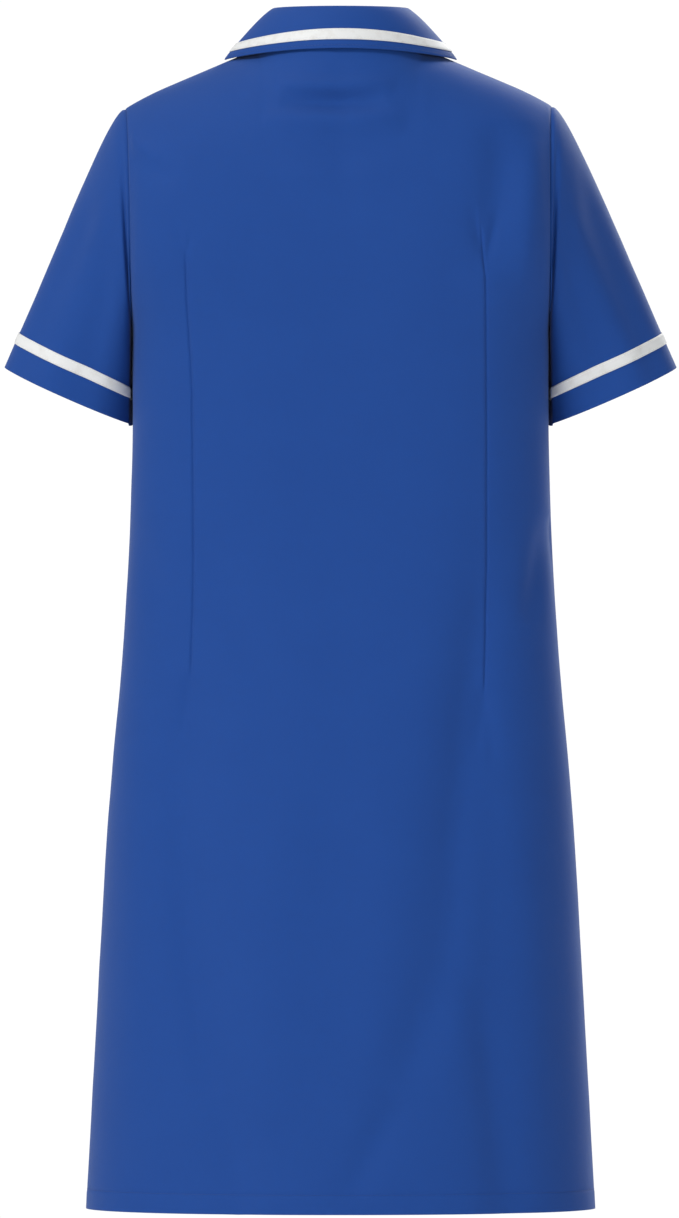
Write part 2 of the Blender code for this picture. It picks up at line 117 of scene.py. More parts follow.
SLEEVE_LEAN = math.radians(23.6)
SLEEVE_HEM_CENTRE = (0.2349, 0.020, -0.293)
SLEEVE_HEM_HALF = (0.0637, 0.0520)
SLEEVE_BACK_DROP = 0.004
SLEEVE_REST = 0.0034
CAP_LEAD = 0.016
SLEEVE_TRIM_INSET = 0.023
SLEEVE_TRIM_WIDTH = 0.010

COLLAR_OPENING = math.radians(3.0)
NECK_LIFT = (0.0006, 0.0020)
STAND_SET_OUT = 0.0006
STAND_DROP = 0.0027
STAND_ROWS = 12
FOLD_RING = (0.0590, 0.055, 0.084)
FOLD_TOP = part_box("collar_fall")[1][2]
FOLD_FRONT_DROP = 0.082
ROLL = (0.0700, 0.0640, 0.0960)
ROLL_HEIGHT = 0.0400
FALL_EDGE = (0.1018, 0.0760)
FALL_BACK_HEIGHT = 0.0078
FALL_SIDE_HEIGHT = 0.0008
FALL_POINT = (0.205, 0.70)
FALL_SETTLE = 1.4
FALL_CLEARANCE = 0.0032
COLLAR_TRIM_INSET = 0.008
COLLAR_TRIM_WIDTH = 0.0105

BUTTON_COUNT = sum(name.startswith("button_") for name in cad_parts)

# ==== folds and creases ========================================================
# A crease runs along its route (x, z) on one face of the body.  rise is how far
# it stands out, and is negative where the cloth is drawn in.
Crease = namedtuple("Crease", "face route width rise")
FOLDS = (
    Crease(BACK, ((-0.131, -0.52), (-0.136, -0.61), (-0.123, -0.82), (-0.095, -0.98)), 0.024, -0.0050),
    Crease(BACK, ((0.126, -0.44), (0.108, -0.56), (0.095, -0.69), (0.086, -0.80), (0.05, -0.90)),
           0.024, -0.0050),
    Crease(BACK, ((0.126, -0.55), (0.130, -0.82), (0.148, -1.01)), 0.020, -0.0040),
    Crease(FRONT, ((-0.120, -0.46), (-0.112, -0.66), (-0.120, -1.01)), 0.026, -0.0050),
    Crease(FRONT, ((0.118, -0.48), (0.126, -0.70), (0.108, -1.01)), 0.026, -0.0050),
)
FOLD_FADE = 0.09
CREASES = (
    # below the collar, where the cloth settles on the neck
    Crease(BACK, ((-0.056, -0.0235), (-0.010, -0.0255), (0.046, -0.0245)), 0.0070, 0.0030),
    Crease(BACK, ((-0.052, -0.0375), (0.000, -0.0390), (0.038, -0.0380)), 0.0085, -0.0036),
    Crease(BACK, ((-0.068, -0.0530), (0.000, -0.0560), (0.056, -0.0540)), 0.0095, 0.0030),
    Crease(BACK, ((-0.075, -0.0780), (0.000, -0.0860), (0.060, -0.0790)), 0.0120, -0.0008),
    Crease(BACK, ((-0.078, -0.0960), (0.000, -0.1060), (0.050, -0.0980)), 0.0110, 0.0005),
    # pulls from the shoulder tips and the armholes
    Crease(BACK, ((-0.188, -0.058), (-0.180, -0.073), (-0.158, -0.091)), 0.0070, 0.0016),
    Crease(BACK, ((-0.178, -0.086), (-0.160, -0.100), (-0.140, -0.104)), 0.0090, -0.0012),
    Crease(BACK, ((0.140, -0.056), (0.139, -0.110), (0.128, -0.190)), 0.0190, -0.0048),
    Crease(BACK, ((0.168, -0.070), (0.163, -0.130), (0.160, -0.210)), 0.0110, 0.0014),
    Crease(BACK, ((0.112, -0.090), (0.106, -0.150), (0.098, -0.230)), 0.0180, -0.0010),
    Crease(BACK, ((-0.163, -0.130), (-0.158, -0.190), (-0.156, -0.260)), 0.0120, 0.0008),
    # where the darts end
    Crease(BACK, ((-0.1415, -0.148), (-0.1352, -0.176)), 0.0030, -0.0008),
    Crease(BACK, ((-0.1290, -0.150), (-0.1342, -0.178)), 0.0030, -0.0007),
    Crease(BACK, ((0.1130, -0.128), (0.1240, -0.176)), 0.0036, -0.0013),
    Crease(BACK, ((0.1385, -0.132), (0.1268, -0.182)), 0.0036, -0.0013),
    Crease(BACK, ((-0.1305, -0.532), (-0.1390, -0.590)), 0.0050, -0.0011),
    Crease(BACK, ((-0.1300, -0.534), (-0.1210, -0.585)), 0.0060, -0.0006),
    Crease(BACK, ((0.1250, -0.545), (0.1180, -0.600)), 0.0060, -0.0010),
    Crease(BACK, ((0.1252, -0.548), (0.1340, -0.615)), 0.0060, -0.0009),
    # waist and skirt
    Crease(BACK, ((-0.123, -0.401), (-0.079, -0.523), (-0.044, -0.585)), 0.0150, -0.0013),
    Crease(BACK, ((0.182, -0.395), (0.173, -0.440), (0.165, -0.495)), 0.0110, -0.0030),
    Crease(BACK, ((-0.178, -0.400), (-0.165, -0.450), (-0.152, -0.480)), 0.0120, -0.0010),
    Crease(BACK, ((-0.172, -0.560), (-0.176, -0.760), (-0.180, -0.960)), 0.0200, 0.0016),
    Crease(BACK, ((-0.040, -0.560), (-0.062, -0.740), (-0.060, -0.930)), 0.0300, 0.0014),
    Crease(BACK, ((0.030, -0.600), (0.040, -0.760), (0.026, -0.900)), 0.0260, 0.0014),
    Crease(BACK, ((0.112, -0.780), (0.131, -0.900), (0.140, -1.000)), 0.0140, -0.0014),
    Crease(BACK, ((0.050, -0.900), (0.004, -0.990)), 0.0150, -0.0022),
    Crease(BACK, ((-0.098, -0.900), (-0.083, -1.000)), 0.0120, -0.0016),
    Crease(BACK, ((-0.136, -0.575), (-0.140, -0.670), (-0.129, -0.790), (-0.108, -0.900)),
           0.0150, -0.0022),
    Crease(BACK, ((0.124, -0.450), (0.110, -0.570), (0.100, -0.680), (0.098, -0.800)),
           0.0150, -0.0016),
    Crease(BACK, ((0.160, -0.640), (0.170, -0.800), (0.176, -0.940)), 0.0150, 0.0010),
    # like ones on the fronts
    Crease(FRONT, ((-0.172, -0.120), (-0.130, -0.170), (-0.098, -0.205)), 0.0100, -0.0016),
    Crease(FRONT, ((0.174, -0.110), (0.140, -0.165), (0.104, -0.190)), 0.0110, -0.0018),
    Crease(FRONT, ((-0.170, -0.250), (-0.130, -0.290), (-0.095, -0.300)), 0.0090, -0.0014),
    Crease(FRONT, ((0.172, -0.262), (0.136, -0.285), (0.100, -0.310)), 0.0090, -0.0014),
    Crease(FRONT, ((-0.110, -0.300), (-0.112, -0.400), (-0.118, -0.480)), 0.0110, -0.0015),
    Crease(FRONT, ((0.108, -0.310), (0.113, -0.400), (0.116, -0.490)), 0.0110, -0.0015),
    Crease(FRONT, ((-0.060, -0.450), (-0.072, -0.640), (-0.064, -0.820)), 0.0240, 0.0014),
    Crease(FRONT, ((0.066, -0.440), (0.078, -0.620), (0.070, -0.860)), 0.0240, 0.0016),
    Crease(FRONT, ((-0.172, -0.520), (-0.182, -0.740), (-0.178, -0.980)), 0.0180, -0.0018),
    Crease(FRONT, ((0.174, -0.500), (0.168, -0.720), (0.184, -0.980)), 0.0190, -0.0020),
    Crease(FRONT, ((-0.094, -0.780), (-0.082, -1.000)), 0.0140, -0.0018),
    Crease(FRONT, ((0.088, -0.760), (0.072, -1.000)), 0.0150, -0.0018),
)
# The two fisheye darts of the back, from top to bottom.
DARTS = {
    LEFT: ((-0.1350, -0.166), (-0.1335, -0.210), (-0.1290, -0.290), (-0.1280, -0.400),
           (-0.1283, -0.470), (-0.1305, -0.538)),
    RIGHT: ((0.1225, -0.144), (0.1258, -0.190), (0.1268, -0.300), (0.1270, -0.430),
            (0.1262, -0.500), (0.1250, -0.551)),
}
# Sleeve creases run down the sleeve: turn in degrees from the shoulder tip
# round by the front, share of the way down at each end, width in degrees.
SleeveCrease = namedtuple("SleeveCrease", "side turn turn_end start end width rise")
SLEEVE_CREASES = (
    SleeveCrease(LEFT, 318, 322, 0.20, 0.98, 16, -0.0014),
    SleeveCrease(LEFT, 296, 292, 0.10, 0.90, 13, 0.0012),
    SleeveCrease(LEFT, 270, 262, 0.25, 1.00, 14, -0.0012),
    SleeveCrease(LEFT, 60, 70, 0.15, 0.95, 16, -0.0016),
    SleeveCrease(LEFT, 100, 96, 0.10, 0.80, 14, -0.0014),
    SleeveCrease(RIGHT, 322, 314, 0.15, 0.95, 17, -0.0018),
    SleeveCrease(RIGHT, 292, 298, 0.10, 0.85, 12, 0.0010),
    SleeveCrease(RIGHT, 262, 270, 0.20, 1.00, 14, -0.0014),
    SleeveCrease(RIGHT, 48, 58, 0.20, 0.95, 17, -0.0016),
    SleeveCrease(RIGHT, 92, 100, 0.10, 0.85, 14, -0.0014),
)
SleeveValley = namedtuple("SleeveValley", "depth reach")
VALLEY = SleeveValley(0.0050, 0.0060)   # beside the armhole seam
TUCK = 0.0060                           # how far the sleeve's inner front leans in to the body
TUCK_TURN, TUCK_WIDTH = math.radians(146.0), math.radians(26.0)
TUCK_LEAST = 1e-5                       # less than this is left alone
TUCK_REST = 0.0018                      # and how far off the body it stays
ALLOWANCE_DEPTH = 0.0028                # the seam allowance lies this far under the panel
ALLOWANCE_PLACES = (1.0, 0.985, 0.965)  # and reaches in to these places


# ==== settings ====================================================================
class DressSizes(bpy.types.PropertyGroup):
    """Sizes of the cloth and of what is sewn on it."""

    cloth: FloatProperty(name="Cloth", description="Thickness of the body cloth",
                         default=0.0007, min=0.0002, unit="LENGTH")
    tape: FloatProperty(name="Tape", description="Thickness of the woven tape",
                        default=0.0006, min=0.0002, unit="LENGTH")
    grid: FloatProperty(name="Grid", description="Spacing of the cloth's mesh",
                        default=0.0042, min=0.002, unit="LENGTH")
    creasing: FloatProperty(name="Creasing", description="Strength of all creases",
                            default=1.5, min=0.0, max=3.0, subtype="FACTOR")
    ripple: FloatProperty(name="Ripple", description="Height of the cloth's faint waviness",
                          default=0.00022, min=0.0, unit="LENGTH")
    dart: FloatProperty(name="Dart", description="How deep the dart seams are drawn in",
                        default=0.0012, min=0.0, unit="LENGTH")
    hem: FloatProperty(name="Hem", description="Height of the hem's stitching",
                       default=0.0170, min=0.005, unit="LENGTH")
    stitch: FloatProperty(name="Stitch", description="Length of one stitch",
                          default=0.0024, min=0.001, unit="LENGTH")
    stitch_pitch: FloatProperty(name="Stitch pitch", description="From one stitch to the next",
                                default=0.0030, min=0.001, unit="LENGTH")
    thread: FloatProperty(name="Thread", description="Diameter of the sewing thread",
                          default=0.00042, min=0.0001, unit="LENGTH")
    button_holes: IntProperty(name="Button holes", description="Holes in each button",
                              default=4, min=2, max=4)


class DressColours(bpy.types.PropertyGroup):
    """Colours of the cloth, tape, thread and buttons, in linear light."""

    cloth: FloatVectorProperty(name="Cloth", description="Royal blue of the body cloth",
                               default=(0.0066, 0.0488, 0.2330), size=3, subtype="COLOR",
                               min=0.0, max=1.0)
    cloth_deep: FloatVectorProperty(name="Deep cloth", description="Blue between the yarns",
                                    default=(0.0045, 0.0402, 0.2030), size=3, subtype="COLOR",
                                    min=0.0, max=1.0)
    tape: FloatVectorProperty(name="Tape", description="White of the woven tape",
                              default=(0.595, 0.605, 0.610), size=3, subtype="COLOR",
                              min=0.0, max=1.0)
    tape_shade: FloatVectorProperty(name="Tape shade", description="Faint grey in the tape",
                                    default=(0.520, 0.516, 0.505), size=3, subtype="COLOR",
                                    min=0.0, max=1.0)
    blue_thread: FloatVectorProperty(name="Blue thread", description="Thread on the blue cloth",
                                     default=(0.0090, 0.0450, 0.2200), size=3, subtype="COLOR",
                                     min=0.0, max=1.0)
    white_thread: FloatVectorProperty(name="White thread", description="Thread on the tape",
                                      default=(0.74, 0.75, 0.76), size=3, subtype="COLOR",
                                      min=0.0, max=1.0)
    button: FloatVectorProperty(name="Button", description="White of the buttons",
                                default=(0.76, 0.78, 0.80), size=3, subtype="COLOR",
                                min=0.0, max=1.0)


class StageSettings(bpy.types.PropertyGroup):
    """Camera, floor and lamps."""

    distance: FloatProperty(name="Distance", description="From the camera to the dress",
                            default=12.0, min=1.0, unit="LENGTH")
    eye: FloatProperty(name="Eye height", description="Height of the camera over the origin",
                       default=-0.4787, unit="LENGTH")
    view: FloatProperty(name="View", description="Height of what the camera takes in",
                        default=1.0625, min=0.1, unit="LENGTH")
    floor: FloatProperty(name="Floor", description="Height of the floor under the hem",
                         default=-1.44, unit="LENGTH")
    key: FloatProperty(name="Key", description="Power of the large lamp, upper left",
                       default=1400.0, min=0.0, unit="POWER")
    top: FloatProperty(name="Top", description="Power of the lamp over the shoulders",
                       default=26.0, min=0.0, unit="POWER")
    fill: FloatProperty(name="Fill", description="Power of the lamp on the right",
                        default=44.0, min=0.0, unit="POWER")
    low: FloatProperty(name="Low", description="Power of the lamp that lights the skirt",
                       default=9.0, min=0.0, unit="POWER")
    front: FloatProperty(name="Front", description="Power of the lamp that lights the fronts",
                         default=460.0, min=0.0, unit="POWER")
    sky: FloatProperty(name="Sky", description="Strength of the even light all round",
                       default=0.14, min=0.0)


# ==== small helpers ====================================================================
def mix(start, end, share):
    """The value a share of the way from start to end."""
    return start + (end - start) * share


def ease(share):
    """A share from 0 to 1 that starts and stops gently."""
    share = np.clip(share, 0.0, 1.0)
    return share * share * (3.0 - 2.0 * share)


def bezier(points, share):
    """Points on the cubic curve of four control arrays."""
    rest = 1.0 - share
    return (points[0] * rest**3 + points[1] * 3.0 * share * rest**2
            + points[2] * 3.0 * share**2 * rest + points[3] * share**3)


def hill(distance, width):
    """A soft bell, 1 at no distance."""
    return np.exp(-((distance / width) ** 2))


def read_table(rows, column, at):
    """Smooth values of one column of a table, at places along its first one."""
    keys = np.array([row[0] for row in rows])
    values = np.array([getattr(row, column) for row in rows])
    if keys[0] > keys[-1]:
        keys, values = keys[::-1], values[::-1]
    low = np.maximum(np.arange(len(keys)) - 1, 0)
    high = np.minimum(np.arange(len(keys)) + 1, len(keys) - 1)
    slopes = (values[high] - values[low]) / (keys[high] - keys[low])
    at = np.clip(at, keys[0], keys[-1])
    i = np.clip(np.searchsorted(keys, at, side="right") - 1, 0, len(keys) - 2)
    step = keys[i + 1] - keys[i]
    handles = (values[i], values[i] + slopes[i] * step / 3.0,
               values[i + 1] - slopes[i + 1] * step / 3.0, values[i + 1])
    return bezier(handles, (at - keys[i]) / step)


def unit(vectors):
    """Vectors scaled to length 1."""
    return vectors / np.maximum(np.linalg.norm(vectors, axis=-1, keepdims=True), 1e-12)


def stack(x, y, z):
    """One array of points from arrays of coordinates that broadcast."""
    return np.stack(np.broadcast_arrays(x, y, z), axis=-1)


def run_lengths(points, axis, closed=False):
    """Length run along the rows or columns of a grid, from its first line."""
    steps = np.linalg.norm(np.diff(points, axis=axis), axis=-1)
    zero = np.zeros_like(np.take(steps, [0], axis=axis))
    return np.concatenate([zero, np.cumsum(steps, axis=axis)], axis=axis)


# ==== the body's surface ====================================================================
def section_points(face, place, height):
    """Points on the body below the armholes; place runs from -1 to 1 across."""
    angle = place * math.pi / 2.0
    half = read_table(SECTIONS, "half_width", height)
    depth = read_table(SECTIONS, "back_depth" if face == BACK else "front_depth", height)
    power = read_table(SECTIONS, "squareness", height)
    across, along = np.sin(angle), np.cos(angle)
    radius = (np.abs(across / half) ** power + np.abs(along / depth) ** power) ** (-1.0 / power)
    return stack(radius * across, face * radius * along, height)


def neck_points(face, place):
    """Points on the neck seam; place runs from -1 to 1 across that face."""
    angle = place * math.pi / 2.0
    drop = NECK_DROP[face] * np.abs(np.cos(angle)) ** 1.6
    return stack(NECK_HALF_WIDTH * np.sin(angle), face * NECK_DEPTH[face] * np.cos(angle),
                 NECK_SIDE_HEIGHT - drop)


def top_points(face, place):
    """Points on a panel's top edge: neck seam, then shoulder seam."""
    size = np.abs(place)
    neck = neck_points(face, np.clip(place / NECK_EDGE, -1.0, 1.0))
    tip = np.where(place > 0.0, SHOULDER_TIP[RIGHT], SHOULDER_TIP[LEFT])
    across = mix(NECK_HALF_WIDTH, tip, (size - NECK_EDGE) / (1.0 - NECK_EDGE))
    curl = SHOULDER_CURL * np.maximum(0.0, across - SHOULDER_TURN) ** 2
    height = NECK_SIDE_HEIGHT - SHOULDER_SLOPE * (across - NECK_HALF_WIDTH) - curl
    shoulder = stack(np.sign(place) * across, 0.0 * across, height)
    return np.where((size <= NECK_EDGE)[..., None], neck, shoulder)


def fold_depth(face, across, height):
    """How far the large folds draw the cloth in, as in the solids."""
    total = np.zeros(np.broadcast(across, height).shape)
    for fold in FOLDS:
        if fold.face != face:
            continue
        xs = np.array([point[0] for point in fold.route[::-1]])
        zs = np.array([point[1] for point in fold.route[::-1]])
        line = np.interp(height, zs, xs)
        fade = ease((zs[-1] + FOLD_FADE - height) / (2.0 * FOLD_FADE))
        if zs[0] > HEM:
            fade = fade * ease((height - zs[0] + FOLD_FADE) / (2.0 * FOLD_FADE))
        total = total - fold.rise * fade * hill(across - line, fold.width)
    return total


def body_points(face, place, level):
    """Points on a body panel.

    place runs from -1 at the left edge to 1 at the right edge.  level runs from
    -1 at the hem through 0 at the underarm to 1 at the top edge.
    """
    place, level = np.broadcast_arrays(np.asarray(place, float), np.asarray(level, float))
    height = mix(UNDERARM, HEM, np.maximum(-level, 0.0))
    skirt = section_points(face, place, height)
    edge = ease((1.0 - np.abs(place)) / 0.25)
    skirt[..., 1] -= face * edge * fold_depth(face, skirt[..., 0], height)

    low, top = section_points(face, place, UNDERARM), top_points(face, place)
    rise, size, share = top[..., 2] - low[..., 2], np.abs(place), np.maximum(level, 0.0)
    rows = YOKE[face]
    depths = (np.abs(low[..., 1]), read_table(rows, "depth_low", size),
              read_table(rows, "depth_high", size), np.abs(top[..., 1]))
    heights = (low[..., 2], low[..., 2] + rise * read_table(rows, "rise_low", size),
               low[..., 2] + rise * read_table(rows, "rise_high", size), top[..., 2])
    across = (low[..., 0], low[..., 0], mix(low[..., 0], top[..., 0], 0.5), top[..., 0])
    yoke = stack(bezier(across, share), face * bezier(depths, share), bezier(heights, share))
    return np.where((level <= 0.0)[..., None], skirt, yoke)


def places_at(face, level, across):
    """The places on rows at which the panel's x is the wanted one."""
    low, high = np.full_like(level, -1.0), np.full_like(level, 1.0)
    for _ in range(30):
        middle = 0.5 * (low + high)
        under = body_points(face, middle, level)[..., 0] < across
        low, high = np.where(under, middle, low), np.where(under, high, middle)
    return 0.5 * (low + high)


# ==== relief ====================================================================
def route_relief(route, across, height):
    """Distance to a route and share of the way along it, at each point."""
    corners = np.array(route)
    legs = np.linalg.norm(np.diff(corners, axis=0), axis=1)
    before = np.concatenate([[0.0], np.cumsum(legs)])
    best = np.full(across.shape, 1e9)
    share = np.zeros(across.shape)
    for k, (start, end) in enumerate(zip(corners[:-1], corners[1:])):
        way = end - start
        along = ((across - start[0]) * way[0] + (height - start[1]) * way[1]) / legs[k] ** 2
        along = np.clip(along, 0.0, 1.0)
        distance = np.hypot(across - start[0] - along * way[0], height - start[1] - along * way[1])
        near = distance < best
        best = np.where(near, distance, best)
        share = np.where(near, (before[k] + along * legs[k]) / before[-1], share)
    return best, share


def crease_relief(face, points):
    """How far the placed creases move a body panel out."""
    across, height = points[..., 0], points[..., 2]
    total = np.zeros(across.shape)
    for crease in CREASES:
        if crease.face != face:
            continue
        distance, share = route_relief(crease.route, across, height)
        total += crease.rise * np.sin(np.pi * share) ** 0.6 * hill(distance, crease.width)
    return total


def ripple_relief(first, second, seed):
    """Faint waviness of pressed cloth: a few long sine waves at odd angles."""
    random = np.random.default_rng(seed)
    total = np.zeros(np.broadcast(first, second).shape)
    for _ in range(9):
        length = random.uniform(0.030, 0.110)
        angle, phase = random.uniform(0.0, math.pi), random.uniform(0.0, 2.0 * math.pi)
        way = first * math.cos(angle) + second * math.sin(angle)
        total += np.sin(2.0 * math.pi * way / length + phase) * (length / 0.110)
    return total / 3.0


def dart_line(side, height):
    """The x of a dart's seam at each height."""
    route = DARTS[side][::-1]
    return np.interp(height, [point[1] for point in route], [point[0] for point in route])


def dart_relief(points, depth):
    """The two dart seams of the back, as narrow drawn-in lines."""
    across, height = points[..., 0], points[..., 2]
    total = np.zeros(across.shape)
    for side, route in DARTS.items():
        top, bottom = route[0][1], route[-1][1]
        fade = ease((top + 0.004 - height) / 0.022) * ease((height - bottom + 0.004) / 0.016)
        distance = across - dart_line(side, height)
        total -= fade * depth * (hill(distance, 0.0009) + 0.35 * hill(distance, 0.0050))
        total += fade * depth * 0.30 * hill(distance + side * 0.0034, 0.0016)
    return total


def hem_relief(points, hem):
    """The turned-up hem: a doubled edge, a stitched line and faint puckers."""
    above = points[..., 2] - HEM
    around = np.arctan2(points[..., 1] / 0.149, points[..., 0] / 0.222) * 0.19
    doubled = 0.00035 * ease((hem + 0.0008 - above) / 0.0016)
    line = -0.00055 * hill(above - hem, 0.0011)
    pucker = np.sin(around / 0.0016) * np.sin(around / 0.0057 + 1.0)
    return doubled + line + 0.00016 * pucker * hill(above - hem * 0.72, hem * 0.45)


def edge_roll(distance, depth=0.0011, reach=0.0016):
    """How far a seam's turned-in edge drops, by distance from the seam."""
    return -depth * hill(distance, reach)


# ==== making meshes ====================================================================
def grid_normals(points, closed, outward):
    """Unit normals of a grid of points, rows by columns."""
    if closed:
        along = np.roll(points, -1, axis=1) - np.roll(points, 1, axis=1)
    else:
        along = np.gradient(points, axis=1)
    up = np.gradient(points, axis=0)
    return unit(np.cross(along, up)) * outward


def link(name, mesh, material):
    """Put a mesh in the scene as a smooth piece with one material."""
    mesh.materials.append(material)
    mesh.shade_smooth()
    piece = bpy.data.objects.new(name, mesh)
    bpy.context.scene.collection.objects.link(piece)
    return piece


def face_outwards(mesh):
    """Turn the faces of a closed mesh so that they all point out of its cloth."""
    bm = bmesh.new()
    bm.from_mesh(mesh)
    bmesh.ops.recalc_face_normals(bm, faces=bm.faces)
    if bm.calc_volume(signed=True) < 0.0:
        bmesh.ops.reverse_faces(bm, faces=bm.faces)
    bm.to_mesh(mesh)
    bm.free()


def shell(name, outer, thickness, material, closed=False, outward=1.0):
    """A thin closed shell of cloth inside a grid of outer points.

    Its own map holds the length along rows and columns in metres, so a weave
    follows the cloth.
    """
    rows, columns = outer.shape[:2]
    normals = grid_normals(outer, closed, outward)
    inner = outer - normals * thickness
    points = np.concatenate([outer.reshape(-1, 3), inner.reshape(-1, 3)])
    count, spans = rows * columns, columns if closed else columns - 1
    i, j = np.meshgrid(np.arange(rows - 1), np.arange(spans), indexing="ij")
    i, j = i.ravel(), j.ravel()
    k = (j + 1) % columns
    quads = np.stack([i * columns + j, i * columns + k, (i + 1) * columns + k,
                      (i + 1) * columns + j], axis=1)
    if outward < 0.0:
        quads = quads[:, ::-1]
    faces = [quads, quads[:, ::-1] + count]

    def rim(line, flip):
        """Quads along one free edge, from the outer sheet to the inner one."""
        start, end = line[:-1], line[1:]
        strip = np.stack([start, start + count, end + count, end], axis=1)
        faces.append(strip[:, ::-1] if flip else strip)

    top_line = np.arange(columns) + (rows - 1) * columns
    low_line = np.arange(columns)
    if closed:
        top_line, low_line = np.append(top_line, top_line[0]), np.append(low_line, low_line[0])
    rim(low_line, outward < 0.0)
    rim(top_line, outward > 0.0)
    if not closed:
        first = np.arange(rows) * columns
        rim(first, outward > 0.0)
        rim(first + columns - 1, outward < 0.0)
    faces = np.concatenate(faces)
    mesh = bpy.data.meshes.new(name)
    mesh.from_pydata(points.tolist(), [], faces.tolist())
    face_outwards(mesh)

    run_across, run_up = run_lengths(outer, 1), run_lengths(outer, 0)
    middle = run_across[:, columns // 2][:, None]
    chart = np.stack([run_across - middle, run_up], axis=-1).reshape(-1, 2)
    chart = np.concatenate([chart, chart])
    corners = np.empty(len(mesh.loops), dtype=np.int32)
    mesh.loops.foreach_get("vertex_index", corners)
    values = chart[corners]
    if closed:
        lap = np.linalg.norm(outer[:, 0] - outer[:, -1], axis=-1)
        total = run_across[:, -1] + lap
        row_of = (corners % count) // columns
        wraps = values[:, 0] < -0.45 * total[row_of]
        corner_face = np.repeat(np.arange(len(faces)), 4)
        far = np.zeros(len(faces), dtype=bool)
        np.logical_or.at(far, corner_face, values[:, 0] > 0.40 * total[row_of])
        shift = wraps & far[corner_face]
        values[shift, 0] += total[row_of[shift]]
    mesh.uv_layers.new(name="cloth_map").data.foreach_set("uv", values.astype(np.float32).ravel())
    mesh.validate()
    return link(name, mesh, material)


def spaced(length, step):
    """Number of steps that divide a length at about the given spacing."""
    return max(2, int(round(length / step)))


# ==== materials ====================================================================
class Nodes:
    """Builds one material's nodes with short calls."""

    def __init__(self, name):
        self.material = bpy.data.materials.new(name)
        self.material.use_nodes = True
        self.tree = self.material.node_tree
        self.shader = self.tree.nodes["Principled BSDF"]

    def add(self, kind, inputs=(), **settings):
        """Add a node, set its properties and its sockets' values."""
        node = self.tree.nodes.new(kind)
        for key, value in settings.items():
            setattr(node, key, value)
        for key, value in dict(inputs).items():
            node.inputs[key].default_value = value
        return node

    def join(self, source, output, target, socket):
        """Link an output to an input, each by name or number."""
        self.tree.links.new(source.outputs[output], target.inputs[socket])

    def math(self, operation, first, second=None):
        """A Math node over two sources, each a node or a number."""
        node = self.add("ShaderNodeMath", operation=operation)
        for index, source in enumerate((first, second)):
            if isinstance(source, (int, float)):
                node.inputs[index].default_value = source
            elif source is not None:
                self.tree.links.new(source.outputs[0], node.inputs[index])
        return node


def map_in_millimetres(nodes):
    """The cloth's own map, scaled so that one unit is a millimetre."""
    chart = nodes.add("ShaderNodeUVMap", uv_map="cloth_map")
    mapping = nodes.add("ShaderNodeMapping", {"Scale": (1000.0, 1000.0, 1000.0)})
    nodes.join(chart, "UV", mapping, "Vector")
    return mapping


def wave(nodes, chart, direction, period):
    """A sine wave across the map with a period in its units."""
    node = nodes.add("ShaderNodeTexWave", {"Scale": 2.0 * math.pi / (20.0 * period)},
                     wave_type="BANDS", bands_direction=direction, wave_profile="SIN")
    nodes.join(chart, 0, node, "Vector")
    return node


def noise(nodes, chart, scale, detail=2.0):
    """Smooth noise on the map."""
    node = nodes.add("ShaderNodeTexNoise", {"Scale": scale, "Detail": detail})
    nodes.join(chart, 0, node, "Vector")
    return node


def cloth_material(colours):
    """Royal blue twill: fine slanted ribs, faint mottle and a soft sheen."""
    nodes = Nodes("royal_blue_twill")
    chart = map_in_millimetres(nodes)
    slant = nodes.add("ShaderNodeMapping", {"Rotation": (0.0, 0.0, math.radians(45.0))})
    nodes.join(chart, 0, slant, "Vector")
    ribs = wave(nodes, slant, "X", 0.75)
    yarns = wave(nodes, chart, "Y", 0.50)
    mottle = noise(nodes, chart, 0.16, 3.0)
    cloud = noise(nodes, chart, 0.018, 2.0)
    grain = noise(nodes, chart, 1.1, 1.0)

    tone = nodes.math("ADD", nodes.math("MULTIPLY", mottle, 0.55), nodes.math("MULTIPLY", cloud, 0.45))
    tone = nodes.math("ADD", tone, nodes.math("MULTIPLY", grain, 0.25))
    tone = nodes.math("SUBTRACT", tone, 0.125)
    colour = nodes.add("ShaderNodeMix", data_type="RGBA")
    colour.inputs[6].default_value = (*colours.cloth_deep, 1.0)
    colour.inputs[7].default_value = (*colours.cloth, 1.0)
    nodes.join(tone, 0, colour, 0)
    nodes.tree.links.new(colour.outputs[2], nodes.shader.inputs["Base Color"])

    rough = nodes.add("ShaderNodeMapRange", {"To Min": 0.72, "To Max": 0.86})
    nodes.join(mottle, 0, rough, "Value")
    nodes.join(rough, 0, nodes.shader, "Roughness")

    weave = nodes.math("MULTIPLY", ribs, nodes.math("ADD", nodes.math("MULTIPLY", yarns, 0.4), 0.6))
    fine = nodes.add("ShaderNodeBump", {"Strength": 0.35, "Distance": 0.00008})
    nodes.join(weave, 0, fine, "Height")
    soft = nodes.add("ShaderNodeBump", {"Strength": 0.5, "Distance": 0.00030})
    nodes.join(noise(nodes, chart, 0.07, 2.0), 0, soft, "Height")
    nodes.join(soft, 0, fine, "Normal")
    nodes.join(fine, 0, nodes.shader, "Normal")
    nodes.shader.inputs["Sheen Weight"].default_value = 0.10
    nodes.shader.inputs["Sheen Roughness"].default_value = 0.45
    nodes.shader.inputs["Sheen Tint"].default_value = (0.62, 0.74, 1.0, 1.0)
    nodes.shader.inputs["Specular IOR Level"].default_value = 0.20
    return nodes.material


